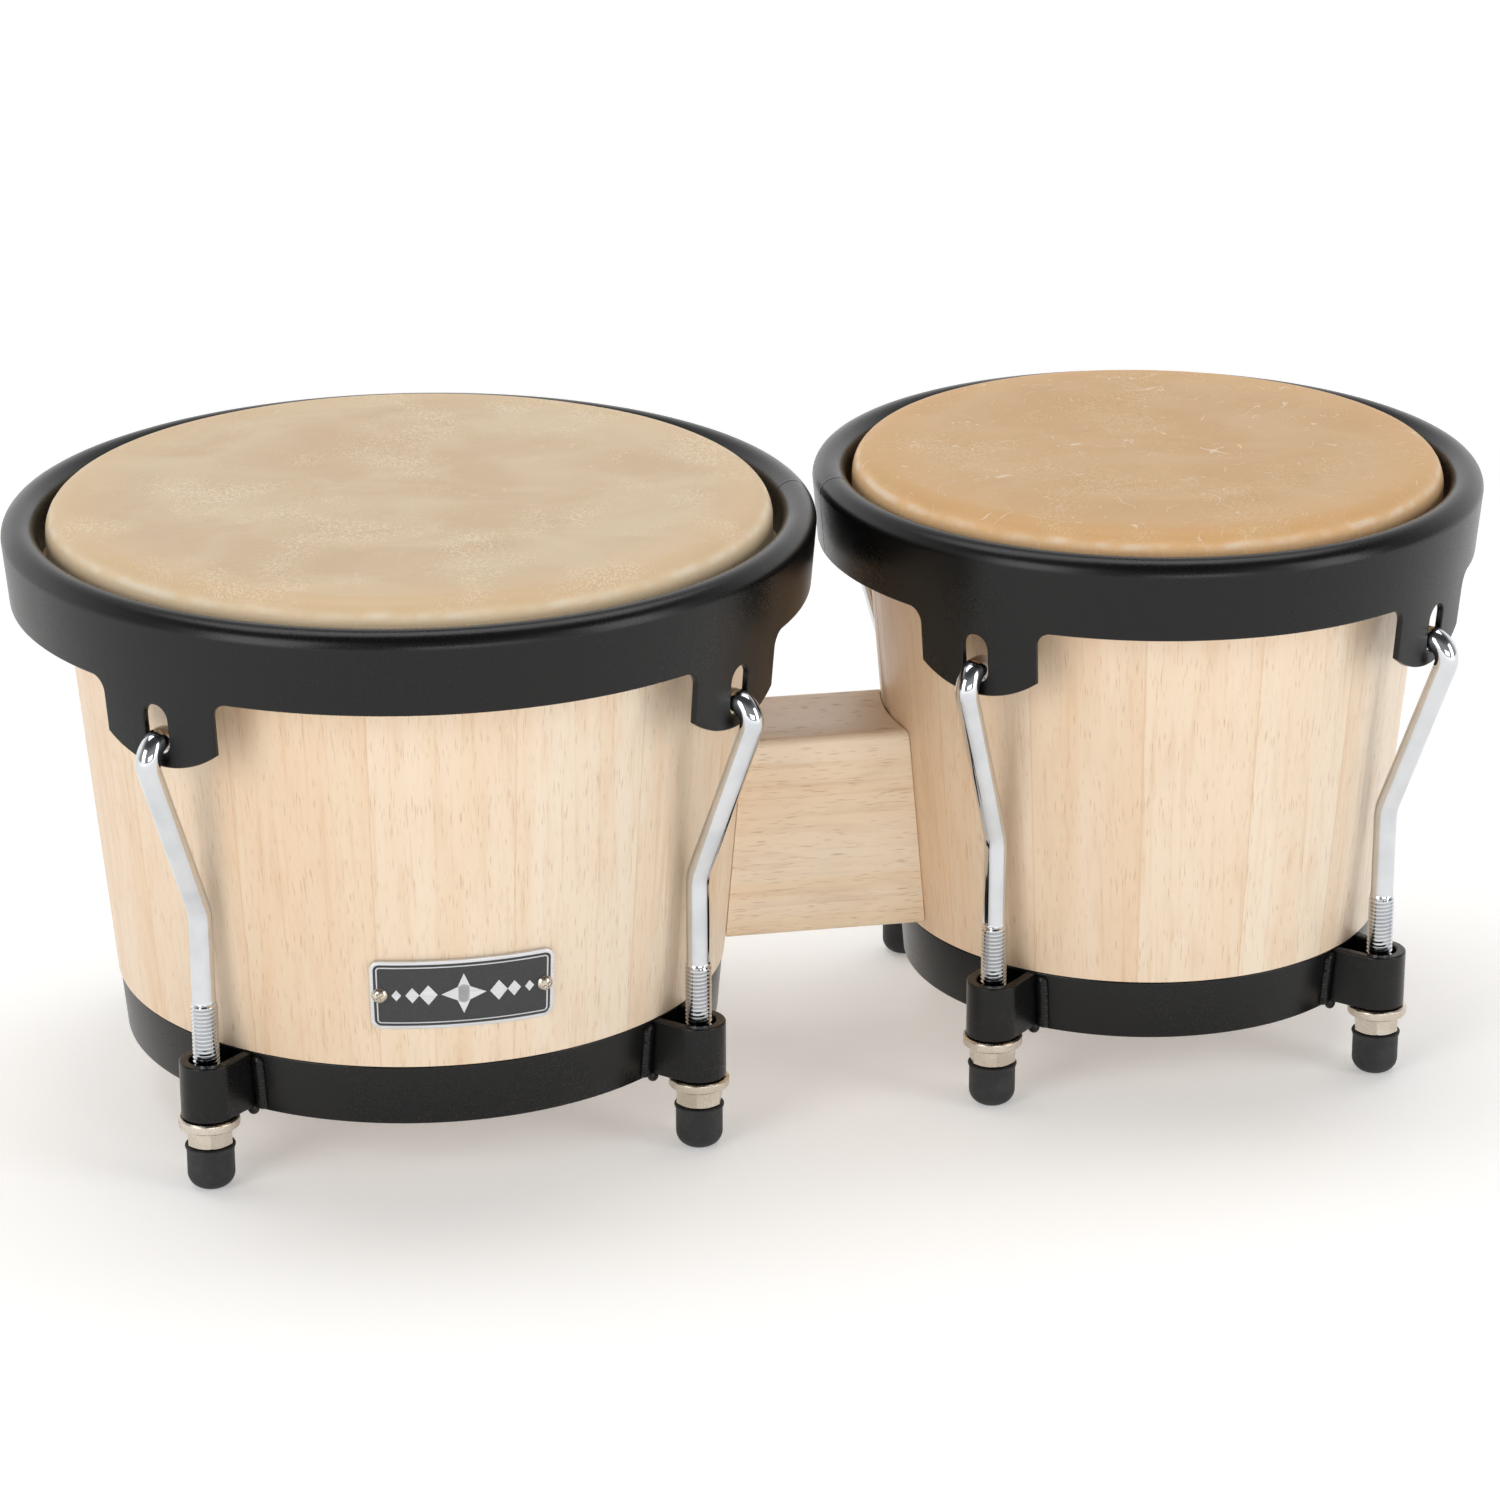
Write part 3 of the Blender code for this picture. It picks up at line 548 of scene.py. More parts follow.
@dataclass(frozen=True)
class Rubberwood:
    """Rubberwood, sawn, glued, sanded and given a thin satin lacquer.

    The eye sees pale cream to pinkish boards that differ from their neighbours, fine streaks along the grain
    and short brown pores.
    """

    name: str
    grain: Grain
    centre_x: float = 0.0
    staves: int = 15
    first_glue_line: float = 0.37  # as a share of one stave
    cream: str = "EADAC4"
    blush: str = "DFBD97"
    streak: str = "CDA072"
    pore: str = "B58860"

    def grain_space(self, recipe: Recipe) -> tuple[Socket, Socket, Socket | None]:
        """Lay coordinates along the grain.

        Args:
            recipe: The material's nodes.

        Returns:
            Coordinates (across, deep, along) in metres, a random number for each board, and the distance to
            the nearest glue line, which one board doesn't have.
        """
        add = recipe.add
        if self.grain is Grain.BOARD:
            parts = add("SeparateXYZ", recipe.place).node.outputs
            laid = add("CombineXYZ", parts["Z"], parts["Y"], parts["X"])
            return laid, add("TexWhiteNoise", W=3.0, noise_dimensions="1D"), None
        parts = add("SeparateXYZ", recipe.centred(self.centre_x)).node.outputs
        turn = add("Math", parts["Y"], parts["X"], operation="ARCTAN2")
        counted = add("Math", turn, self.staves / FULL, self.first_glue_line, operation="MULTIPLY_ADD")
        index, share = add("Math", counted, operation="FLOOR"), add("Math", counted, operation="FRACT")
        radius = add("VectorMath", add("CombineXYZ", parts["X"], parts["Y"]), operation="LENGTH", out="Value")
        width = add("Math", radius, FULL / self.staves, operation="MULTIPLY")
        across = add("Math", share, width, operation="MULTIPLY")
        chance = add("TexWhiteNoise", W=index, noise_dimensions="1D")
        shifted = add("Math", chance, 3.0, across, operation="MULTIPLY_ADD")  # each stave has its own figure
        laid = add("CombineXYZ", shifted, radius, parts["Z"])
        left = add("Math", width, across, operation="SUBTRACT")
        return laid, chance, add("Math", across, left, operation="MINIMUM")

    def make(self) -> Material:
        """Build the material.

        Returns:
            The material.
        """
        recipe = Recipe(self.name, coat_weight=0.25, coat_roughness=0.28)
        add, speckle = recipe.add, recipe.speckle
        laid, chance, glue = self.grain_space(recipe)
        broad = speckle(laid, (14 * MM, 40 * MM, 220 * MM), 2.0, 0.4)
        streaks = speckle(laid, (1.6 * MM, 6 * MM, 70 * MM), 4.0, 0.2)
        mottle = speckle(laid, (4 * MM, 9 * MM, 22 * MM), 3.0)
        # Vessels are 0.1 to 0.2 mm wide in the wood; drawn 0.35 mm wide here so that they show.
        pores = add("MapRange", speckle(laid, (0.35 * MM, 2 * MM, 5 * MM), 0.0), 0.64, 0.84, **EASED)
        drift = add("MapRange", broad, *MIDTONES, 0.0, 0.35, **EASED)
        tone = add("Math", chance, 0.65, drift, operation="MULTIPLY_ADD")
        colour = add("MixRGB", tone, linear(self.cream), linear(self.blush))
        for share, paint in (
            (add("MapRange", streaks, 0.50, 0.80, 0.0, 0.34, **EASED), self.streak),
            (add("MapRange", mottle, 0.45, 0.80, 0.0, 0.22, **EASED), self.streak),
            (add("Math", pores, 0.42, operation="MULTIPLY"), self.pore),
        ):
            colour = add("MixRGB", share, colour, linear(paint))
        if glue is not None:
            line = add("MapRange", glue, 0.05 * MM, 0.45 * MM, 0.35, 0.0, **EASED)
            colour = add("MixRGB", line, colour, linear(self.streak))
        rough = add("MapRange", streaks, *MIDTONES, 0.36, 0.48, **EASED)
        return recipe.finish(colour, rough, add("Math", streaks, pores, operation="SUBTRACT"), 0.05 * MM)


@dataclass(frozen=True)
class Rawhide:
    """Rawhide, scraped, soaked and dried on its hoop.

    The eye sees a dry, cloudy tan sheet, whitish where the surface is scuffed up, with pale fibres and a
    whitish crease where it bends down over the shell. The collar is painted paler: painted light on its side.
    """

    name: str
    centre_x: float
    radius: float
    play_z: float
    body: str
    cloud: str
    edge: str
    # painted light: the collar colour is paler to stand for the light falling on the skin's side
    collar: str
    fuzz: float
    fibres: float
    pale: str = "F2E6D2"
    crease: str = "FBF4E6"
    crease_drop: float = 4.2 * MM

    def make(self) -> Material:
        """Build the material.

        Returns:
            The material.
        """
        recipe = Recipe(self.name, subsurface_weight=0.12, subsurface_scale=2.5 * MM, specular_ior_level=0.42)
        add, speckle, centred = recipe.add, recipe.speckle, recipe.centred(self.centre_x)
        parts = add("SeparateXYZ", centred).node.outputs
        reach = add("VectorMath", add("CombineXYZ", parts["X"], parts["Y"]), operation="LENGTH", out="Value")
        clouds = speckle(centred, (38 * MM, 30 * MM, 30 * MM), 4.0, 0.6)
        blotches = speckle(centred, (24 * MM, 30 * MM, 20 * MM), 6.0, 0.2)
        dust = speckle(centred, (0.7 * MM, 0.9 * MM, 0.8 * MM), 3.0)
        hair = self.hair_lines(recipe, centred)
        # The bent side has coordinates of its own: x round the drum and y up.
        turn = add("Math", parts["Y"], parts["X"], operation="ARCTAN2")
        side = add("CombineXYZ", add("Math", turn, self.radius, operation="MULTIPLY"), parts["Z"])
        height = add("Math", speckle(side, 16 * MM), 1.6 * MM, parts["Z"], operation="MULTIPLY_ADD")
        scuffs = add("MapRange", blotches, 0.42, 0.70, 0.0, self.fuzz, **EASED)
        scuffed = add("Math", scuffs, add("MapRange", dust, 0.40, 0.68, **EASED), operation="MULTIPLY")
        bend_z = self.play_z - self.crease_drop
        low = add("MapRange", parts["Z"], bend_z, bend_z - 2 * MM, **EASED)
        threads = speckle(side, (1.3 * MM, 26 * MM, 5 * MM), 3.0)
        drawn = add("MapRange", threads, 0.5, 0.75, 0.0, 0.35, **EASED)
        off = add("Math", height, bend_z + 0.8 * MM, operation="SUBTRACT")
        away = add("Math", off, operation="ABSOLUTE")
        line = add("MapRange", away, 0.2 * MM, 1.5 * MM, 0.42, 0.0, **EASED)
        broken = add("MapRange", speckle(side, (9 * MM, 9 * MM, 3 * MM), 4.0), 0.35, 0.65, **EASED)
        outside = add("MapRange", reach, self.radius - 5 * MM, self.radius - 2.5 * MM, **EASED)
        crease = add("Math", add("Math", line, broken, operation="MULTIPLY"), outside, operation="MULTIPLY")
        misty = add("MapRange", clouds, *MIDTONES, **EASED)
        warm = add("MapRange", reach, self.radius - 26 * MM, self.radius - 3 * MM, 0.0, 0.75, **EASED)
        colour = add("MixRGB", misty, linear(self.body), linear(self.cloud))
        for share, paint in (
            (warm, self.edge),
            (scuffed, self.pale),
            (add("Math", hair, self.fibres, operation="MULTIPLY"), self.pale),
            # Painted light: the collar below the top edge is painted paler where light falls on the side.
            (add("MapRange", height, self.play_z - 0.7 * MM, self.play_z - 3.6 * MM, **EASED), self.collar),
            (add("Math", drawn, low, operation="MULTIPLY"), self.pale),
            (crease, self.crease),
        ):
            colour = add("MixRGB", share, colour, linear(paint))
        rough = add("MapRange", blotches, *MIDTONES, 0.44, 0.62, **EASED)
        lumps = add("Math", blotches, 1.5, dust, operation="MULTIPLY_ADD")
        relief = add("Math", hair, 0.6, lumps, operation="MULTIPLY_ADD")
        return recipe.finish(colour, rough, relief, 0.06 * MM)

    def hair_lines(self, recipe: Recipe, place: Socket) -> Socket:
        """Draw the pale, curved fibres that run just under the surface.

        Args:
            recipe: The material's nodes.
            place: Coordinates in metres.

        Returns:
            A mask, 1 on a fibre.
        """
        add, masks = recipe.add, []
        for offset, span in ((0.11, 17 * MM), (0.53, 26 * MM)):
            moved = add("Mapping", place, Location=(offset, offset / 2, 0))
            off = add("Math", recipe.speckle(moved, span, 2.0, 1.2), 0.5, operation="SUBTRACT")
            away = add("Math", off, operation="ABSOLUTE")
            gate = add("MapRange", recipe.speckle(moved, 7 * MM, 1.0), 0.52, 0.60, **EASED)
            # A fibre is 0.1 mm thick; drawn about 0.3 mm so that it shows.
            line = add("MapRange", away, 0.0012, 0.0045, 1.0, 0.0, **EASED)
            masks.append(add("Math", line, gate, operation="MULTIPLY"))
        return add("Math", *masks, operation="MAXIMUM")


@dataclass(frozen=True)
class PowderCoat:
    """Black polyester powder coat, baked on steel.

    The eye sees a satin charcoal black with a very fine orange peel and a soft, broad highlight.
    """

    name: str
    seam_x: float | None = None
    seam_side: float = 1.0
    colour: str = "080808"
    bloom: str = "111110"
    grain: float = 0.55 * MM

    def make(self) -> Material:
        """Build the material.

        Returns:
            The material.
        """
        recipe = Recipe(self.name, specular_ior_level=0.34)
        add = recipe.add
        height = peel = recipe.speckle(recipe.place, self.grain)
        shade = add("MapRange", peel, 0.35, 0.75, 0.0, 0.35, **EASED)
        colour = add("MixRGB", shade, linear(self.colour), linear(self.bloom))
        broad = add("MapRange", recipe.speckle(recipe.place, 35 * MM), *MIDTONES, 0.24, 0.30, **EASED)
        fine = add("MapRange", peel, *MIDTONES, 0.0, 0.05, **EASED)
        rough = add("Math", broad, fine, operation="ADD")
        if self.seam_x is not None:
            # The sheet's two ends are welded and ground; a faint raised line is left under the coat.
            parts = add("SeparateXYZ", recipe.centred(self.seam_x)).node.outputs
            away = add("Math", parts["Y"], operation="ABSOLUTE")
            ridge = add("MapRange", away, 0.1 * MM, 0.9 * MM, 7.0, 0.0, **EASED)
            sided = add("Math", parts["X"], self.seam_side, operation="MULTIPLY")
            near = add("MapRange", sided, 10 * MM, 20 * MM, **EASED)
            height = add("Math", ridge, near, peel, operation="MULTIPLY_ADD")
        return recipe.finish(colour, rough, height, 0.022 * MM)


@dataclass(frozen=True)
class PlainFinish:
    """A finish of two close colours in soft clouds, with its own gloss and fine relief."""

    name: str
    colour: str
    shade: str
    rough: Point
    grain: Sizes | float
    depth: float
    detail: float = 3.0
    cloud: float | None = None  # size of the colour's clouds; None makes them follow the grain
    cloud_detail: float = 2.0
    cloud_range: Point = (0.35, 0.7)
    metallic: float = 0.0
    specular: float = 0.5

    def make(self) -> Material:
        """Build the material.

        Returns:
            The material.
        """
        recipe = Recipe(self.name, metallic=self.metallic, specular_ior_level=self.specular)
        grain = cloud = recipe.speckle(recipe.place, self.grain, self.detail)
        if self.cloud:
            cloud = recipe.speckle(recipe.place, self.cloud, self.cloud_detail)
        share = recipe.add("MapRange", cloud, *self.cloud_range, **EASED)
        colour = recipe.add("MixRGB", share, linear(self.colour), linear(self.shade))
        rough = recipe.add("MapRange", grain, *MIDTONES, *self.rough, **EASED)
        return recipe.finish(colour, rough, grain, self.depth)


# Steel, polished, copper and nickel plated, then chromed: a bluish mirror with faint streaks along the rod.
CHROME = PlainFinish("bright_chrome_plate", "D8DADD", "CED1D5", (0.04, 0.07), (0.6 * MM, 0.6 * MM, 9 * MM),
                     0.0006 * MM, cloud=11 * MM, metallic=1.0)
# Steel, turned and nickel plated: a warm, satin silver.
NICKEL = PlainFinish("satin_nickel_plate", "D9D0C3", "CBBFAF", (0.20, 0.32), 0.4 * MM, 0.004 * MM,
                     cloud=11 * MM, metallic=1.0)
# Steel, zinc plated and passivated: a dull, cloudy grey.
ZINC = PlainFinish("zinc_plate", "C4C8CC", "AEB4BA", (0.28, 0.42), 0.7 * MM, 0.006 * MM,
                   cloud=11 * MM, metallic=1.0)
# Black rubber, moulded: matt, with the dull bloom of a cap that has been handled.
RUBBER = PlainFinish("moulded_black_rubber", "212223", "2E2F30", (0.52, 0.66), 0.5 * MM, 0.03 * MM,
                     cloud=5 * MM, cloud_detail=3.0, cloud_range=(0.4, 0.75), specular=0.4)
# Black enamel, printed on the badge: a smooth, slightly glossy charcoal with fine dust.
ENAMEL = PlainFinish("printed_black_enamel", "2E2E2F", "3A3A3B", (0.30, 0.40), 0.5 * MM, 0.01 * MM,
                     detail=2.0, cloud_range=(0.4, 0.8))
# Aluminium sheet, brushed along its length: a soft pale silver with fine level streaks.
ALUMINIUM = PlainFinish("brushed_aluminium", "E4E5E7", "D2D4D8", (0.34, 0.46), (12 * MM, 12 * MM, 0.25 * MM),
                        0.008 * MM, cloud_range=MIDTONES, metallic=1.0)


@dataclass(frozen=True)
class StudioFloor:
    """Matt white paper sweep under the object, lit more strongly further out."""

    name: str = "matt_paper_floor"
    colour: str = "F7F7F6"
    fibre: str = "F5F5F4"

    def make(self) -> Material:
        """Build the material.

        Returns:
            The material.
        """
        recipe = Recipe(self.name, roughness=0.85, specular_ior_level=0.2, emission_color=(1, 1, 1, 1))
        reach = recipe.add("VectorMath", recipe.place, operation="LENGTH", out="Value")
        glow = recipe.add("MapRange", reach, 0.4, 1.8, 0.26, 0.62, **EASED)
        recipe.tree.links.new(glow, recipe.shader.inputs["Emission Strength"])
        fibre = recipe.speckle(recipe.place, 2 * MM)
        colour = recipe.add("MixRGB", fibre, linear(self.colour), linear(self.fibre))
        recipe.tree.links.new(colour, recipe.shader.inputs["Base Color"])
        return recipe.material


# ---------------------------------------------------------------- one drum
@dataclass(frozen=True)
class DrumFrame:
    """The places and sizes of one drum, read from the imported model."""

    name: str

    def box(self, node: str) -> tuple[Vector, Vector]:
        """Give the box of one of this drum's CAD nodes."""
        return box(f"{self.name}_{node}")

    def half_width(self, node: str) -> float:
        """Give half of the width of one of this drum's CAD nodes."""
        low, high = self.box(node)
        return (high.x - low.x) / 2

    @property
    def tuning(self) -> str:
        """Name of the body that the nuts draw down."""
        return f"{self.name}_tuning"

    @property
    def axis_x(self) -> float:
        """Place of the drum's axis along X."""
        low, high = self.box("bottom_ring")
        return (low.x + high.x) / 2

    @property
    def play_z(self) -> float:
        """Height of the playing surface."""
        return self.box("head")[1].z

    @property
    def collar_radius(self) -> float:
        """Outer radius of the skin's collar."""
        return self.half_width("head")

    @property
    def rim_radius(self) -> float:
        """Outer radius of the rim at its roll."""
        return self.half_width("rim")

    @property
    def hook_circle(self) -> float:
        """Distance of the rods from the drum's axis."""
        low, high = self.box("nut_front_left")
        return math.hypot((low.x + high.x) / 2 - self.axis_x, (low.y + high.y) / 2)

    def ring_radius(self, z: float) -> float:
        """Give the outer radius of the bottom band at a height."""
        return self.half_width("bottom_ring") - (self.box("bottom_ring")[1].z - z) * math.tan(SHELL_TAPER)

    def shell_radius(self, z: float) -> float:
        """Give the outer radius of the shell at a height."""
        return self.ring_radius(z) + PROUD

    def centred_piece(self, label: str, bm: BMesh, finish: Material, smooth: float = 38) -> Object:
        """Make an object of a mesh that was modelled about Z, moved to the drum's axis.

        Args:
            label: The object's name after the drum's.
            bm: The mesh.
            finish: Its finish.
            smooth: Edges that fold more than this many degrees stay sharp.

        Returns:
            The object.
        """
        return to_object(f"{self.name}_{label}", placed(bm, shift(self.axis_x)), [finish], smooth)


@dataclass(frozen=True)
class CornerSet:
    """Four equal pieces of one drum, one at each corner."""

    label: str
    node: str
    slot: Slot
    smooth: float
    weighted: bool = False
    body: str = "{drum}_tuning"
    twist: Point = (0.0, 0.0)  # turn of the first piece and step to the next, in degrees

    def spread(self, drum: DrumFrame, model: BMesh, reach: float, finish: Material) -> None:
        """Copy a model to the four corners and hang the copies on their bodies.

        Args:
            drum: The drum.
            model: The mesh, which is freed.
            reach: Distance of its own Z axis from the drum's.
            finish: Its finish.
        """
        for i, (corner, degrees) in enumerate(CORNERS.items()):
            own = swing(math.radians(self.twist[0] + self.twist[1] * i))
            place = shift(drum.axis_x) @ swing(math.radians(degrees)) @ shift(reach) @ own
            bm = placed(model.copy(), place)
            piece = to_object(f"{drum.name}_{self.label}_{corner}", bm, [finish], self.smooth)
            body = self.body.format(drum=drum.name, corner=corner)
            post(piece, body, f"{drum.name}_{self.node}_{corner}", self.slot, self.weighted)
        model.free()


@dataclass
class Shell:
    """The stave shell of one drum, with seats for the washers inside."""

    drum: DrumFrame
    edge_rounding: float = 7.6 * MM
    inner_rounding: float = 2.2 * MM
    foot_rounding: float = 1.2 * MM
    shoulder_rounding: float = 0.35 * MM
    rebate_rounding: float = 0.2 * MM
    seat_radius: float = 11.6 * MM
    bolt_hole: float = 4.3 * MM
    bore_depth: float = 40 * MM

    def profile(self) -> list[Point]:
        """Give the shell's section.

        Returns:
            The points as (radius, height).
        """
        low, top = (corner.z for corner in self.drum.box("shell"))
        band_top = self.drum.box("bottom_ring")[1].z + TOUCH
        rebate = PROUD + BAND_SHEET + TOUCH
        foot, shoulder, head = (self.drum.shell_radius(z) for z in (low, band_top, top))
        return filleted((
            (foot - SHELL_WALL, low, self.foot_rounding),
            (foot - rebate, low, self.rebate_rounding),
            (shoulder - rebate, band_top, 0),
            (shoulder, band_top, self.shoulder_rounding),
            (head, top, self.edge_rounding),
            (head - SHELL_WALL, top, self.inner_rounding),
        ), steps=8)

    def seat_cutters(self, side: float) -> list[BMesh]:
        """Give the tools that bore the bolt holes and face the washers' seats.

        Args:
            side: The way from this drum to the block, 1 or -1 along X.

        Returns:
            Two solids for each bolt.
        """
        tools = []
        for level in BLOCK_LEVELS:
            low, high = self.drum.box(f"washer_{level}")
            seat = shift((high.x if side > 0 else low.x) + side * TOUCH, 0, (low.z + high.z) / 2)
            for radius, depth, way in (
                (self.seat_radius, SHELL_WALL, -side),
                (self.bolt_hole, self.bore_depth, side),
            ):
                tool = turned([(0, 0), (radius, 0), (radius, depth), (0, depth)], FINE, closed=False)
                tools.append(tidied(placed(tool, seat @ swing(way * QUARTER, "Y"))))
        return tools

    def build(self, finish: Material) -> None:
        """Build and dress the shell.

        Args:
            finish: The wood.
        """
        shell = self.drum.centred_piece("stave_shell", turned(self.profile()), finish)
        carve(shell, self.seat_cutters(1.0 if self.drum.axis_x < 0 else -1.0))
        post(shell, "shells", f"{self.drum.name}_shell", Slot.WOOD)


@dataclass
class Skin:
    """The rawhide head of one drum, tucked round its flesh hoop."""

    drum: DrumFrame
    thickness: float = 1.8 * MM
    tuck_thickness: float = 0.9 * MM
    hoop_radius: float = 3.2 * MM
    hoop_play: float = 0.05 * MM
    shoulder: float = 9.0 * MM
    throat: float = 3.0 * MM
    straight: float = 2.0 * MM  # upright run above the throat
    tuck_end: float = -1.15 * math.pi  # the tuck runs round the hoop to this angle
    blend_gap: float = 3.5 * MM  # a gap above the hoop's middle
    unevenness: float = 0.28 * MM
    flat_shares: tuple[float, ...] = (0.0, 0.15, 0.3, 0.45, 0.6, 0.72, 0.82, 0.9, 0.96)

    def hoop_centre(self) -> Point:
        """Give the middle of the hoop's section as (radius, height)."""
        low, high = self.drum.box("flesh_hoop")
        return self.drum.half_width("flesh_hoop") - self.hoop_radius, (low.z + high.z) / 2

    def path(self) -> list[Sizes]:
        """Give the skin's middle line, from the axis to the tucked end.

        Returns:
            The points as (radius, height, thickness).
        """
        half, tuck = self.thickness / 2, self.tuck_thickness
        wall, top = self.drum.collar_radius - half, self.drum.play_z - half
        hoop, round_hoop = self.hoop_centre(), self.hoop_radius - tuck / 2
        turn = self.shoulder - half
        throat = (wall + self.throat, hoop[1] + round_hoop + self.throat)
        plain = [((wall - turn) * share, top) for share in self.flat_shares]
        plain += arc((wall - turn, top - turn), turn, QUARTER, 0, 12)
        plain += [(wall, throat[1] + self.straight), (wall, throat[1])]
        points = [(r, z, self.thickness) for r, z in plain]
        bend = arc(throat, self.throat, math.pi, 3 * QUARTER, 6)[1:]
        thinning = (tuck - self.thickness) / len(bend)
        points += [(r, z, self.thickness + thinning * (i + 1)) for i, (r, z) in enumerate(bend)]
        return points + [(r, z, tuck) for r, z in arc(hoop, round_hoop, QUARTER, self.tuck_end, 22)]

    def build(self, finish: Material) -> None:
        """Build and dress the skin.

        Args:
            finish: The rawhide.
        """
        path = [Vector(p) for p in self.path()]
        outer, inner = [], []
        for i, here in enumerate(path):
            before, after = path[max(i - 1, 0)], path[min(i + 1, len(path) - 1)]
            run = (after - before).to_2d().normalized() if i else Vector((1, 0))
            side = Vector((-run.y, run.x)) * here.z / 2
            outer.append((here.x + side.x, here.y + side.y))
            inner.append((here.x - side.x, here.y - side.y))
        bm = turned(outer + inner[::-1], closed=False)
        self.unsettle(bm)
        skin = self.drum.centred_piece("rawhide_skin", bm, finish, smooth=50)
        start_z, end_z = self.drum.play_z - self.shoulder, self.hoop_centre()[1] + self.blend_gap
        self.drum.tuning
        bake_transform(skin)
        post(skin, None, f"{self.drum.name}_head", Slot.SKIN)

    def unsettle(self, bm: BMesh) -> None:
        """Make the collar slightly uneven, as dried skin is.

        Args:
            bm: The turned skin about the Z axis.
        """
        wall, edge_z = self.drum.collar_radius, self.drum.play_z - self.shoulder
        foot_z = self.hoop_centre()[1] + self.hoop_radius + 1.5 * MM
        calm, flat_share, sag_share = 0.6, 0.35, 0.8
        ripples, rises, sags = 9, 60, 3.1  # waves of the noise round, up and over the skin
        for vert in bm.verts:
            reach = math.hypot(vert.co.x, vert.co.y)
            if reach < wall * calm or vert.co.z < foot_z:
                continue
            heading = Vector((vert.co.x, vert.co.y, 0)) / reach
            near = min(1.0, (reach / wall - calm) / (1 - calm))
            share = 1.0 if vert.co.z < edge_z + 4 * MM else flat_share
            swell = noise.noise(heading * ripples + Vector((0, 0, vert.co.z * rises)))
            vert.co -= heading * (1 + swell) / 2 * self.unevenness * near * share
            vert.co.z -= (1 + noise.noise(heading * sags)) / 2 * self.unevenness * near**2 * sag_share

    def build_hoop(self, finish: Material) -> None:
        """Build and dress the wire hoop inside the tuck.

        Args:
            finish: The plating.
        """
        radius = self.hoop_radius - self.tuck_thickness - self.hoop_play
        bm = turned(arc(self.hoop_centre(), radius, 0, FULL, 16)[:-1])
        hoop = self.drum.centred_piece("hoop_wire", bm, finish)
        post(hoop, self.drum.tuning, f"{self.drum.name}_flesh_hoop", Slot.ZINC)


@dataclass
class Rim:
    """The rolled steel rim of one drum, with four slotted ears."""

    drum: DrumFrame
    sheet: float = 2.2 * MM
    section: float = 10.3 * MM
    skirt_depth: float = 29.2 * MM
    ear_half_width: float = 20.3 * MM
    ear_side_depth: float = 45.5 * MM
    ear_fillet: float = 4.5 * MM
    slot_width: float = 8.4 * MM
    slot_depths: Point = (33.0 * MM, 48.3 * MM)
    edge: float = 0.6 * MM
    inner_edge: float = 0.7 * MM
    columns: int = ROUND // 8

    @property
    def roll_z(self) -> float:
        """Height of the roll's middle."""
        return self.drum.box("rim")[1].z - self.section / 2

    def skirt_radius(self, z: float) -> float:
        """Give the outer radius of the skirt at a height."""
        return self.drum.rim_radius - (self.roll_z - z) * math.tan(SHELL_TAPER)

    def half_panel(self) -> BMesh:
        """Model half an ear and the band beside it as a flat sheet, x along and y outwards.

        Returns:
            The open sheet.
        """
        play, low = self.drum.play_z, self.drum.box("rim")[0].z
        edge, side = play - self.skirt_depth, play - self.ear_side_depth
        end = self.skirt_radius(edge) * FULL / 8
        sagitta, half = side - low, self.ear_half_width
        radius = (half**2 + sagitta**2) / (2 * sagitta)
        lean = math.asin(half / radius)
        hole, slot_top, slot_low = self.slot_width / 2, play - self.slot_depths[0], play - self.slot_depths[1]
        outline = [(0.0, self.roll_z), (end, self.roll_z), (end, edge)]
        outline += arc((half + self.ear_fillet, edge - self.ear_fillet), self.ear_fillet, QUARTER, math.pi, 8)
        outline += arc((0, low + radius), radius, lean - QUARTER, -QUARTER, 12)
        outline += arc((0, slot_low + hole), hole, -QUARTER, 0, 6)
        outline += arc((0, slot_top - hole), hole, 0, QUARTER, 6)
        panel = extruded(outline, swing(QUARTER, "X"), self.sheet)
        planes = ((0, 0.0), (0, end), (2, self.roll_z))
        walls = [
            f for f in panel.faces
            if any(all(abs(v.co[axis] - at) < DOUBLE for v in f.verts) for axis, at in planes)
        ]
        bmesh.ops.delete(panel, geom=walls, context="FACES")
        soften(panel, creases(panel, 70), self.edge, 3)
        placed(panel, shift(y=-max(v.co.y for v in panel.verts)))
        slice_at(panel, 0, [end * k / self.columns for k in range(1, self.columns)])
        return panel

    def build(self, finish: Material) -> None:
        """Build and dress the rim.

        Args:
            finish: The powder coat.
        """
        bm = self.half_panel()
        bmesh.ops.mirror(bm, geom=everything(bm), matrix=Matrix.Identity(4), axis="X", merge_dist=DOUBLE)
        skirt = self.skirt_radius(self.drum.play_z - self.skirt_depth)
        wrap_round(bm, self.skirt_radius, skirt, QUARTER / 2)
        bmesh.ops.spin(
            bm, geom=everything(bm), cent=(0, 0, 0), axis=(0, 0, 1), angle=3 * QUARTER, steps=3,
            use_duplicate=True,
        )
        roll, foot = self.section / 2, self.drum.box("flesh_hoop")[1].z + TOUCH + self.inner_edge
        centre, inner = (self.drum.rim_radius - roll, self.roll_z), self.drum.rim_radius - self.section
        chain = arc(centre, roll, 0, math.pi, 20)
        chain += arc((inner + self.inner_edge, foot), self.inner_edge, math.pi, 3 * QUARTER, 3)
        chain += arc((inner + self.sheet - self.inner_edge, foot), self.inner_edge, 3 * QUARTER, FULL, 3)
        chain += arc(centre, roll - self.sheet, math.pi, 0, 12)
        spin_chain(bm, chain, ROUND, closed=False)
        rim = self.drum.centred_piece("steel_rim", tidied(bm, MM / 50), finish, smooth=42)
        post(rim, self.drum.tuning, f"{self.drum.name}_rim", Slot.BLACK_STEEL, weighted=True)


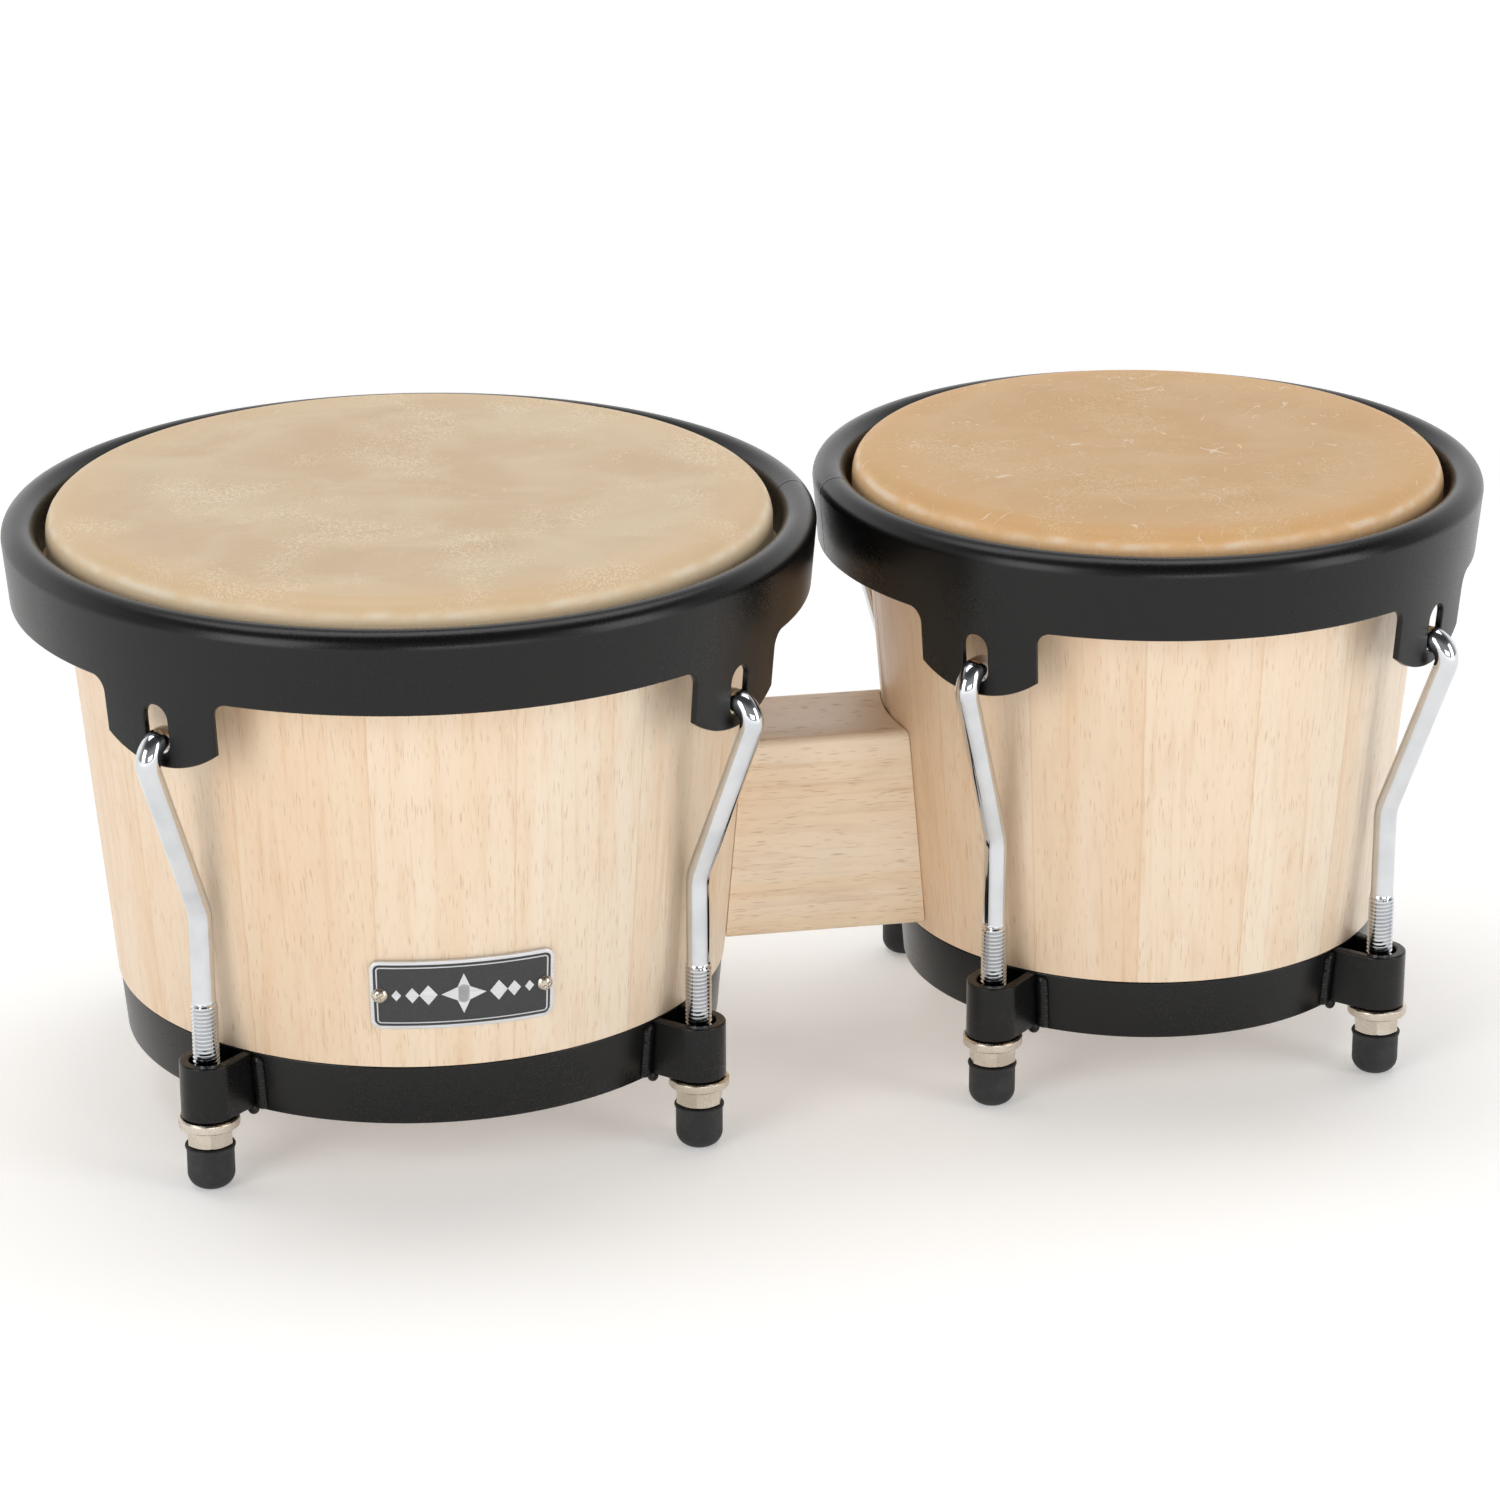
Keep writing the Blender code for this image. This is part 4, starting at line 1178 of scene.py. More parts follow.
@dataclass
class FootBand:
    """The steel band let into the foot of one shell, and its four welded lugs."""

    drum: DrumFrame
    strap: float = 3.0 * MM
    strap_edge: float = 0.6 * MM
    bore: float = 5.2 * MM
    root_depth: float = 3.0 * MM
    bead_width: float = 4.4 * MM
    bead_height: float = 1.6 * MM
    bead_overlap: float = 0.7 * MM
    bead_cap: float = 1.6 * MM
    bead_sides: int = 20
    bead_steps: int = 40
    ripple: float = 1.1 * MM
    nub: Sizes = (1.7 * MM, 2.0 * MM, 2.1 * MM)

    def build(self, finish: Material) -> None:
        """Build and dress the band.

        Args:
            finish: The powder coat.
        """
        low, high = (corner.z for corner in self.drum.box("bottom_ring"))
        foot, top = self.drum.ring_radius(low), self.drum.ring_radius(high)
        bm = turned(filleted((
            (foot, low, 0.7 * MM), (top, high, 0.5 * MM),
            (top - BAND_SHEET, high, 0.3 * MM), (foot - BAND_SHEET, low, 0.7 * MM),
        ), steps=4))
        band = self.drum.centred_piece("foot_band", bm, finish)
        post(band, "shells", f"{self.drum.name}_bottom_ring", Slot.BLACK_STEEL)

    def strap_mesh(self) -> BMesh:
        """Model the strap of a lug at angle 0, bent round the rod and cut to the band's slope.

        Returns:
            The closed mesh.
        """
        circle, outer = (self.drum.hook_circle, 0), self.bore + self.strap
        low, high = (corner.z for corner in self.drum.box("lug_front_left"))
        root = self.drum.ring_radius(low) - self.root_depth
        outline = [(root, -outer), *arc(circle, outer, -QUARTER, QUARTER, 24), (root, outer)]
        outline += [(root, self.bore), *arc(circle, self.bore, QUARTER, -QUARTER, 18), (root, -self.bore)]
        bm = extruded(outline, shift(z=low), high - low)
        soften(bm, creases(bm, 60), self.strap_edge, 3)
        for vert in bm.verts:
            if vert.co.x < root + MM:
                wanted = self.drum.ring_radius(vert.co.z) - BAND_SHEET / 2
                vert.co.x = math.sqrt(wanted**2 - vert.co.y**2)
        return bm

    def bead(self, side: float) -> BMesh:
        """Model the weld bead on one side of a lug, at angle 0.

        Args:
            side: The side of the strap, 1 or -1.

        Returns:
            The rippled bead with its run-off nub.
        """
        low, high = (corner.z for corner in self.drum.box("bottom_ring"))
        start, length = low + 0.2 * MM, high - low - MM
        edge = self.bore + self.strap
        across = side * (edge + self.bead_width / 2 - self.bead_overlap)
        rings = []
        for i in range(self.bead_steps + 1):
            z = start + length * i / self.bead_steps
            near_end = min(i, self.bead_steps - i) / self.bead_steps * length
            cap = math.sqrt(max(0.02, 1 - max(0.0, 1 - near_end / self.bead_cap) ** 2))
            # Even ripples of the weld pool, and a little unsteadiness of the hand.
            unsteady = noise.noise(Vector((side, z * 400, 0.3)))
            wave = 1 + 0.07 * math.cos(FULL * z / self.ripple) + 0.06 * unsteady
            middle = (math.sqrt(self.drum.ring_radius(z) ** 2 - across**2), across)
            circle = arc((0, 0), cap * wave, 0, FULL, self.bead_sides)[:-1]
            rings.append([
                Vector((middle[0] + u * self.bead_height, middle[1] + v * self.bead_width / 2, z))
                for u, v in circle
            ])
        nub = bmesh.new()
        bmesh.ops.create_uvsphere(nub, u_segments=16, v_segments=10, radius=1.0)
        place = shift(self.drum.ring_radius(low) + PROUD, side * (edge - 1.2 * MM), low + 0.4 * MM)
        return joined((loft(rings), placed(nub, place @ stretch(*self.nub))))

    def build_lugs(self, finish: Material) -> None:
        """Build and dress the four lugs.

        Args:
            finish: The powder coat.
        """
        bm = joined((self.strap_mesh(), self.bead(1.0), self.bead(-1.0)))
        bmesh.ops.recalc_face_normals(bm, faces=bm.faces)
        lugs = CornerSet("welded_lug", "lug", Slot.BLACK_STEEL, smooth=50, weighted=True, body="shells")
        lugs.spread(self.drum, bm, 0.0, finish)


@dataclass
class Hooks:
    """The four J-hooks of one drum: a rolled thread, a kinked rod and a bend through the ear's slot."""

    drum: DrumFrame
    rod: float = 3.55 * MM
    crest: float = 4.0 * MM
    root: float = 3.23 * MM
    pitch: float = 1.25 * MM
    flanks: tuple[float, float, float] = (0.18, 0.48, 0.66)  # ends of root, rise and crest in one pitch
    runout: Point = (2.2, 1.4)  # length of the run-out and its lead over the thread's top, in pitches
    thread_top_z: float = 61.2 * MM
    kink_z: float = 87.2 * MM
    kink_radius: float = 16 * MM
    kink_steps: int = 6
    bend_steps: int = 20
    tip: float = 3.5 * MM
    tip_rounding: float = 0.6 * MM
    play: float = 1.5 * MM

    def thread(self) -> BMesh:
        """Model the threaded end about Z, open at its top, where it runs out to the rod's own radius.

        Returns:
            The open mesh.
        """
        start = self.drum.box("hook_front_left")[0].z
        turns = math.ceil((self.thread_top_z - start) / self.pitch) + 2
        bm = bmesh.new()
        shares = (0.0, *self.flanks, 1.0)
        section = zip(shares, (self.root, self.root, self.crest, self.crest, self.root))
        verts = [bm.verts.new((r, 0, start - self.pitch + share * self.pitch)) for share, r in section]
        edges = [bm.edges.new(pair) for pair in zip(verts, verts[1:])]
        bmesh.ops.spin(
            bm, geom=verts + edges, cent=(0, 0, 0), axis=(0, 0, 1), angle=FULL,
            steps=ROD_SIDES, dvec=(0, 0, self.pitch / ROD_SIDES), use_merge=False,
        )
        coil = everything(bm)
        for k in range(1, turns):
            grown = bmesh.ops.duplicate(bm, geom=coil)["geom"]
            fresh = [v for v in grown if isinstance(v, Vert)]
            bmesh.ops.translate(bm, verts=fresh, vec=(0, 0, k * self.pitch))
        bmesh.ops.remove_doubles(bm, verts=bm.verts, dist=2 * DOUBLE)
        length, lead = self.runout
        for vert in bm.verts:
            radius = math.hypot(vert.co.x, vert.co.y)
            heading = Vector((vert.co.x, vert.co.y, 0)).normalized()
            runout = min(1.0, max(0.0, (vert.co.z - self.thread_top_z) / (length * self.pitch) + lead))
            chamfer = min(1.0, max(0.0, 1 - (vert.co.z - start) / self.pitch))
            radius += (self.rod - radius) * runout**2 * (3 - 2 * runout)
            radius += (self.root - radius) * chamfer
            height = min(max(vert.co.z, start), self.thread_top_z)
            vert.co = heading * radius + Vector((0, 0, height))
        bmesh.ops.remove_doubles(bm, verts=bm.verts, dist=2 * DOUBLE)
        return bm

    def route(self) -> list[tuple[float, float, float, float]]:
        """Give the rod's centre line, from the thread's top to the tip.

        Returns:
            Its stops as (distance from the rod's foot, height, heading, radius).
        """
        rim = Rim(self.drum)
        inside = rim.sheet / 2 + self.play
        bend_radius = inside + self.rod
        slot_low = self.drum.play_z - rim.slot_depths[1]
        bend_z = slot_low + 2 * TOUCH - math.sqrt(inside**2 - (rim.sheet / 2) ** 2)
        bend_r = rim.skirt_radius(bend_z) - rim.sheet / 2 - self.drum.hook_circle
        rise = bend_z - self.kink_z
        lean = math.atan2(bend_r, rise) + math.asin(bend_radius / math.hypot(bend_r, rise))
        kink = (self.kink_radius, self.kink_z - self.kink_radius * math.tan(lean / 2))
        stops = [(0.0, self.thread_top_z + 2 * MM, 0.0, self.rod)]
        for i in range(self.kink_steps + 1):
            turn = lean * i / self.kink_steps
            stops.append((*arc(kink, self.kink_radius, math.pi - turn, 0, 1)[0], turn, self.rod))
        for i in range(self.bend_steps + 1):
            turn = lean + (-math.pi - lean) * i / self.bend_steps
            stops.append((*arc((bend_r, bend_z), bend_radius, -turn, 0, 1)[0], turn, self.rod))
        end_z = bend_z - self.tip
        for left, share in ((1.0, 1.0), (0.42, 0.94), (0.0, 0.82)):
            stops.append((bend_r - bend_radius, end_z + left * self.tip_rounding, -math.pi, self.rod * share))
        return stops

    def build(self, finish: Material) -> None:
        """Build and dress the four hooks, their bends towards the drum.

        Args:
            finish: The chrome.
        """
        bm = self.thread()
        edges = [
            e for e in bm.edges
            if e.is_boundary and all(abs(v.co.z - self.thread_top_z) < 10 * DOUBLE for v in e.verts)
        ]
        place, radius = shift(z=self.thread_top_z), self.rod
        for out, height, heading, next_radius in self.route():
            grown = bmesh.ops.extrude_edge_only(bm, edges=edges)["geom"]
            edges = [e for e in grown if isinstance(e, Edge)]
            verts = [v for v in grown if isinstance(v, Vert)]
            scale = stretch(next_radius / radius, next_radius / radius, 1)
            next_place = shift(out, 0, height) @ swing(heading, "Y")
            bmesh.ops.transform(bm, matrix=next_place @ scale @ place.inverted(), verts=verts)
            place, radius = next_place, next_radius
        bmesh.ops.holes_fill(bm, edges=[e for e in bm.edges if e.is_boundary], sides=0)
        hooks = CornerSet("chrome_hook", "hook", Slot.CHROME, smooth=28)
        hooks.spread(self.drum, tidied(bm), self.drum.hook_circle, finish)


@dataclass
class FlangeNuts:
    """The four flanged tuning nuts of one drum."""

    drum: DrumFrame
    flats: float = 13 * MM
    face_share: float = 0.95
    hex_height: float = 5.6 * MM
    flange_radius: float = 9.2 * MM
    flange_lips: Point = (0.55 * MM, 0.7 * MM)
    neck: float = 0.35 * MM
    bore: float = 4.15 * MM
    mouth: float = 0.5 * MM
    chamfer: float = math.radians(30)

    def nut(self, bottom: float, top: float) -> BMesh:
        """Model one nut about Z, its hexagon down.

        Args:
            bottom: Height of its bottom.
            top: Height of its top.

        Returns:
            The closed mesh.
        """
        face = self.flats / 2 * self.face_share

        def side(a: float) -> float:
            """Give the hexagon's radius at an angle."""
            return hexagon_radius(self.flats, a)

        def rise(a: float) -> float:
            """Give the chamfer's height at an angle."""
            return (side(a) - face) * math.tan(self.chamfer)

        height, brow = top - bottom, self.hex_height - 0.2 * MM
        collar_z, (lower, upper) = brow + self.neck, self.flange_lips
        outer, mouth = self.flange_radius, self.bore + self.mouth
        stops = [
            (self.bore, self.mouth), (mouth, 0.0), (face, 0.0), (side, rise), (side, brow),
            (lambda a: side(a) + self.neck, brow + 0.25 * MM), (outer - lower, collar_z),
        ]
        for turn in (0.35 * QUARTER, 0.75 * QUARTER, QUARTER):
            stops.append((outer - lower * (1 - math.sin(turn)), collar_z + lower * (1 - math.cos(turn))))
        for turn in (0.0, 0.4 * QUARTER, QUARTER):
            stops.append((outer - upper * (1 - math.cos(turn)), height - upper * (1 - math.sin(turn))))
        stops += [(mouth, height), (self.bore, height - self.mouth)]
        return placed(loft([ring_points(*stop) for stop in stops], bored=True), shift(z=bottom))

    def build(self, finish: Material) -> None:
        """Build and dress the four nuts, each turned by its own amount.

        Args:
            finish: The nickel.
        """
        low, high = self.drum.box("nut_front_left")
        body = "{drum}_nut_{corner}"
        nuts = CornerSet("flange_nut", "nut", Slot.NICKEL, smooth=22, weighted=True, body=body, twist=(8, 17))
        nuts.spread(self.drum, self.nut(low.z, high.z), self.drum.hook_circle, finish)


@dataclass
class RubberFeet:
    """The four rubber caps on the lower ends of one drum's hooks."""

    drum: DrumFrame
    radius: float = 7.1 * MM
    lip: float = 0.45 * MM
    lip_height: float = 1.5 * MM
    lip_rounding: float = 0.5 * MM
    mouth_rounding: float = 0.6 * MM
    rounding: float = 4.6 * MM
    bore: float = 4.3 * MM

    def build(self, finish: Material) -> None:
        """Build and dress the four caps.

        Args:
            finish: The rubber.
        """
        top, floor = self.drum.box("foot_front_left")[1].z, self.drum.box("hook_front_left")[0].z - TOUCH
        lip, mouth, wide = self.lip_rounding, self.mouth_rounding, self.radius + self.lip
        lip_z = top - self.lip_height
        low = self.rounding
        profile = [(0.0, 0.0)] + arc((self.radius - low, low), low, -QUARTER, 0, 10)
        profile += [(self.radius, lip_z - 0.5 * MM), (self.radius + 0.12 * MM, lip_z)]
        profile += arc((wide - lip, top - lip), lip, -0.35, QUARTER, 5)
        profile += arc((self.bore + mouth, top - mouth), mouth, QUARTER, math.pi, 4)
        profile += [(self.bore, floor), (0.0, floor)]
        feet = CornerSet("rubber_foot", "foot", Slot.RUBBER, smooth=50)
        feet.spread(self.drum, turned(profile, FINE, closed=False), self.drum.hook_circle, finish)


# ---------------------------------------------------------------- what joins the drums
@dataclass
class JoiningBlock:
    """The wooden block between the shells, and the two bolts that pull them together."""

    drums: tuple[DrumFrame, DrumFrame]
    rounding: float = 2.5 * MM
    end_rounding: float = 0.35 * MM
    blank: float = 20 * MM  # length of the block before its ends are hollowed
    gap: float = 0.15 * MM
    bolt: float = 4.0 * MM
    bolt_head: float = 5.3 * MM
    bolt_point: float = 0.8 * MM
    flats: float = 13 * MM
    face_share: float = 0.96
    chamfer: float = math.radians(28)
    washer_edges: Point = (0.2 * MM, 0.5 * MM)

    def build(self, finish: Material) -> None:
        """Build and dress the block, its ends hollowed to the shells.

        Args:
            finish: The wood.
        """
        low, high = box("centre_block")
        large, small = self.drums
        middle = (large.axis_x + large.shell_radius(low.z) + small.axis_x - small.shell_radius(low.z)) / 2
        size, centre = high - low, (low + high) / 2
        bm = bmesh.new()
        place = shift(middle, centre.y, centre.z) @ stretch(self.blank, size.y, size.z)
        bmesh.ops.create_cube(bm, size=1, matrix=place)
        soften(bm, [e for e in bm.edges if abs(e.verts[0].co.x - e.verts[1].co.x) > MM], self.rounding, 4)
        for axis, steps in ((1, 20), (2, 6)):
            slice_at(bm, axis, [low[axis] + size[axis] * k / steps for k in range(1, steps)])
        for vert in bm.verts:
            drum, way = (large, 1) if vert.co.x < middle else (small, -1)
            reach = drum.shell_radius(vert.co.z) + self.gap
            vert.co.x = drum.axis_x + way * math.sqrt(reach**2 - vert.co.y**2)
        ends = [e for e in creases(bm, 35) if abs(e.verts[0].co.x - e.verts[1].co.x) < 8 * MM]
        soften(bm, ends, self.end_rounding, 2)
        block = to_object("joining_block", tidied(bm), [finish], smooth=30)
        post(block, "shells", "centre_block", Slot.WOOD, weighted=True)

    def hexagon(self, height: float, bore: float) -> BMesh:
        """Model a chamfered hexagon about Z, from height 0 up.

        Args:
            height: Height of the hexagon.
            bore: Radius of its bore, or 0 for none.

        Returns:
            The closed mesh.
        """
        face = self.flats / 2 * self.face_share

        def side(a: float) -> float:
            """Give the hexagon's radius at an angle."""
            return hexagon_radius(self.flats, a)

        def drop(a: float) -> float:
            """Give the chamfer's height at an angle."""
            return (side(a) - face) * math.tan(self.chamfer)

        rings = [
            ring_points(face, 0.0), ring_points(side, drop),
            ring_points(side, lambda a: height - drop(a)), ring_points(face, height),
        ]
        if bore:
            rings = [ring_points(bore, 0.0), *rings, ring_points(bore, height)]
        return loft(rings, bored=bool(bore))

    def build_hardware(self, finish: Material) -> None:
        """Build and dress the bolts, nuts and washers inside the shells.

        Args:
            finish: The zinc plating.
        """
        inner, outer = self.washer_edges
        for level in BLOCK_LEVELS:
            low, high = box(f"block_bolt_{level}")
            length, rod = high.x - low.x, self.bolt
            shank = [(0.0, MM), (rod, MM), (rod, length - MM), (rod - self.bolt_point, length), (0.0, length)]
            bolt = joined((self.hexagon(self.bolt_head, 0.0), turned(shank, FINE, closed=False)))
            self.hang(f"joining_bolt_{level}", bolt, f"block_bolt_{level}", finish)
            low, high = box(f"block_nut_{level}")
            nut = self.hexagon(high.x - low.x, self.bolt + 0.2 * MM)
            self.hang(f"joining_nut_{level}", nut, f"block_nut_{level}", finish)
            for drum in self.drums:
                low, high = drum.box(f"washer_{level}")
                wide, thick, hole = (high.z - low.z) / 2, high.x - low.x, self.bolt + TOUCH
                washer = turned(filleted((
                    (hole, 0, inner), (wide, 0, outer), (wide, thick, outer), (hole, thick, inner),
                ), steps=3), FINE)
                self.hang(f"{drum.name}_seat_washer_{level}", washer, f"{drum.name}_washer_{level}", finish)

    def hang(self, name: str, bm: BMesh, node: str, finish: Material) -> None:
        """Place one small steel piece on the shells' body.

        Args:
            name: Name of the piece.
            bm: Its mesh about Z.
            node: The CAD node it stands for, which gives its place.
            finish: Its plating.
        """
        low, high = box(node)
        along = shift(low.x, 0, (low.z + high.z) / 2) @ swing(QUARTER, "Y")
        piece = to_object(name, placed(bm, along), [finish], smooth=25)
        post(piece, "shells", node, Slot.ZINC, weighted=True)


@dataclass
class Badge:
    """The curved plate on the large drum's front, with a plain lozenge pattern and two cross-head screws."""

    drum: DrumFrame
    width: float = 54 * MM
    height: float = 22 * MM
    thickness: float = 1.4 * MM
    corner: float = 3.0 * MM
    edge: float = 0.3 * MM
    columns: int = 36
    step: float = 0.14 * MM
    ramp: float = 0.08 * MM
    border: float = 0.75 * MM
    dark_line: float = 0.70 * MM
    bright_line: float = 0.30 * MM
    star: tuple[Point, Point] = ((13 * MM, 6 * MM), (5.5 * MM, 13 * MM))
    lozenge_widths: Sizes = (5.2 * MM, 4.0 * MM, 2.8 * MM)
    first_lozenge_x: float = 10.2 * MM
    lozenge_pitch: float = 4.6 * MM
    screw_radius: float = 2.3 * MM
    screw_dome: float = 2.737 * MM  # radius of the head's dome
    screw_dome_start: float = 0.52  # angle at which the dome begins, in radians
    screw_sink: float = 1.35 * MM  # depth of the dome's middle below the plate
    screw_shank: Point = (1.2 * MM, 6 * MM)
    cross: Sizes = (2.5 * MM, 0.55 * MM, 1.8 * MM)
    cross_turn: float = 0.6

    @property
    def centre_z(self) -> float:
        """Height of the badge's middle."""
        low, high = box("badge")
        return (low.z + high.z) / 2

    def plate(self) -> BMesh:
        """Model the flat plate: a raised border, a dark line, a thin raised line and a dark field.

        Returns:
            The closed mesh, with material 1 where it is enamelled.
        """
        x, z = self.width / 2, self.height / 2
        outline = filleted([(a, b, self.corner) for a, b in ((-x, -z), (x, -z), (x, z), (-x, z))], steps=8)
        bm = self.raised(outline, self.thickness)
        front = max(bm.faces, key=lambda f: f.calc_center_median().y)
        soften(bm, list(front.edges), self.edge, 2)
        front = max(bm.faces, key=lambda f: (round(f.calc_center_median().y, 6), f.calc_area()))
        for width, depth, enamel in (
            (self.border, 0.0, 0), (self.ramp, -self.step, 0), (self.dark_line, 0.0, 1),
            (self.ramp, self.step, 0), (self.bright_line, 0.0, 0), (self.ramp, -self.step, 0),
        ):
            ring = bmesh.ops.inset_region(
                bm, faces=[front], thickness=width, depth=depth, use_even_offset=True
            )
            for face in ring["faces"]:
                face.material_index = enamel
        front.material_index = 1
        return bm

    def raised(self, outline: Sequence[Point], depth: float) -> BMesh:
        """Extrude a flat (x, z) outline so that its front stands where the plate's does.

        Args:
            outline: The points.
            depth: Thickness of the solid.

        Returns:
            The closed solid.
        """
        return placed(extruded(outline, swing(QUARTER, "X"), depth), shift(y=self.thickness))

    def pattern(self) -> list[BMesh]:
        """Model the pattern: a star of two lozenges between rows of smaller ones.

        Returns:
            One closed mesh for each.
        """
        lozenges = [(0.0, width, height) for width, height in self.star]
        for side in (-1, 1):
            for i, width in enumerate(self.lozenge_widths):
                lozenges.append((side * (self.first_lozenge_x + self.lozenge_pitch * i), width, 1.25 * width))
        outlines = [
            [(x - width / 2, 0), (x, -height / 2), (x + width / 2, 0), (x, height / 2)]
            for x, width, height in lozenges
        ]
        return [self.raised(outline, 2 * self.step) for outline in outlines]

    def build(self, metal: Material, enamel: Material) -> None:
        """Build and dress the plate.

        Args:
            metal: The aluminium.
            enamel: The black print.
        """
        bm = joined([self.plate(), *self.pattern()])
        slice_at(bm, 0, [self.width * (k / self.columns - 0.5) for k in range(1, self.columns)])
        placed(bm, shift(z=self.centre_z))
        shell = self.drum.shell_radius
        wrap_round(bm, lambda z: shell(z) + TOUCH / 2, shell(self.centre_z), -QUARTER)
        badge = to_object("badge_plate", placed(bm, shift(self.drum.axis_x)), [metal, enamel], smooth=25)
        post(badge, "shells", "badge", Slot.BADGE, weighted=True)

    def build_screws(self, finish: Material) -> None:
        """Build and dress the two screws.

        Args:
            finish: The nickel.
        """
        head, (shank, depth) = self.screw_radius, self.screw_shank
        for node in ("badge_screw_left", "badge_screw_right"):
            low, high = box(node)
            middle = (low + high) / 2 - Vector((self.drum.axis_x, 0, 0))
            seat = self.drum.shell_radius(self.centre_z) + TOUCH + self.thickness
            section = [(0.0, -depth), (shank, -depth), (shank, 0.0), (head - 0.15 * MM, 0.0)]
            section += arc((0, -self.screw_sink), self.screw_dome, self.screw_dome_start, QUARTER, 10)
            name, bm = node.replace("badge_screw", "badge_plate_screw"), turned(section, FINE, closed=False)
            screw = to_object(name, bm, [finish], smooth=35)
            cutters = []
            for turn in (self.cross_turn, self.cross_turn + QUARTER):
                slot = bmesh.new()
                bmesh.ops.create_cube(slot, size=1)
                top = shift(z=self.screw_dome - self.screw_sink)
                cutters.append(placed(slot, top @ swing(turn) @ stretch(*self.cross)))
            carve(screw, cutters)
            facing = swing(math.atan2(middle.y, middle.x)) @ swing(QUARTER, "Y")
            screw.data.transform(shift(self.drum.axis_x, 0, self.centre_z) @ facing @ shift(z=seat))
            post(screw, "shells", node, Slot.CHROME)


# ---------------------------------------------------------------- studio
@dataclass(frozen=True)
class Softbox:
    """One soft light: its name, place, aim, width and height, and power in watts."""

    name: str
    place: Sizes
    aim: Sizes
    size: Point
    power: float

    def hang(self) -> None:
        """Hang the light."""
        data = bpy.data.lights.new(self.name, "AREA")
        data.shape, data.size, data.size_y, data.energy = "RECTANGLE", *self.size, self.power
        lamp = bpy.data.objects.new(self.name, data)
        lamp.location = self.place
        lamp.rotation_euler = (Vector(self.aim) - Vector(self.place)).to_track_quat("-Z", "Y").to_euler()
        bpy.context.scene.collection.objects.link(lamp)


@dataclass
class Studio:
    """Floor, light and camera."""

    target: Vector
    azimuth: float = math.radians(-11.37)
    elevation: float = math.radians(20.54)
    distance: float = 1.5291
    lens: float = 117.84
    lens_shift: Point = (-0.0223, 0.0056)
    floor_size: float = 8.0
    room_strength: float = 1.2
    softboxes: tuple[Softbox, ...] = (
        Softbox("overhead_softbox", (0.0, 0.25, 1.5), (0, 0, 0.1), (1.8, 0.7), 11),
        Softbox("left_softbox", (-1.5, -1.2, 0.75), (0, 0, 0.1), (0.9, 1.3), 14),
        Softbox("right_softbox", (1.5, -1.2, 0.7), (0, 0, 0.1), (0.8, 1.3), 11),
        Softbox("front_softbox", (0.25, -2.3, 0.45), (0.05, 0, 0.1), (1.4, 0.5), 7),
    )

    def floor(self) -> None:
        """Lay the floor, which isn't part of the object."""
        bm = bmesh.new()
        bmesh.ops.create_grid(bm, x_segments=1, y_segments=1, size=self.floor_size)
        to_object("studio_floor", bm, [StudioFloor().make()])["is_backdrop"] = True

    def room(self) -> None:
        """Light the room: white behind the object, dark overhead and behind the camera."""
        world = bpy.data.worlds.new("studio_room")
        bpy.context.scene.world = world
        world.use_nodes = True
        nodes = Nodes(world.node_tree)
        background = nodes.tree.nodes["Background"]
        heading = nodes.add("SeparateXYZ", nodes.add("TexCoord", out="Generated")).node.outputs
        behind = nodes.add("MapRange", heading["Y"], -0.2, 0.6, 0.26, 1.0, **EASED)
        overhead = nodes.add("MapRange", heading["Z"], 0.35, 0.85, 1.0, 0.2, **EASED)
        level = nodes.add("Math", behind, overhead, operation="MULTIPLY")
        nodes.tree.links.new(nodes.add("CombineXYZ", level, level, level), background.inputs["Color"])
        background.inputs["Strength"].default_value = self.room_strength

    def camera(self) -> None:
        """Set the camera up."""
        data = bpy.data.cameras.new("camera")
        data.sensor_width, data.lens = 36.0, self.lens
        data.shift_x, data.shift_y = self.lens_shift
        eye = bpy.data.objects.new("camera", data)
        back = Vector((0, -math.cos(self.elevation), math.sin(self.elevation)))
        back.rotate(Matrix.Rotation(self.azimuth, 3, "Z"))
        eye.location = self.target + back * self.distance
        eye.rotation_euler = (-back).to_track_quat("-Z", "Y").to_euler()
        bpy.context.scene.collection.objects.link(eye)
        bpy.context.scene.camera = eye

    def build(self) -> None:
        """Build the studio."""
        self.floor()
        self.room()
        for softbox in self.softboxes:
            softbox.hang()
        self.camera()
        bpy.context.scene.view_settings.view_transform = "Standard"


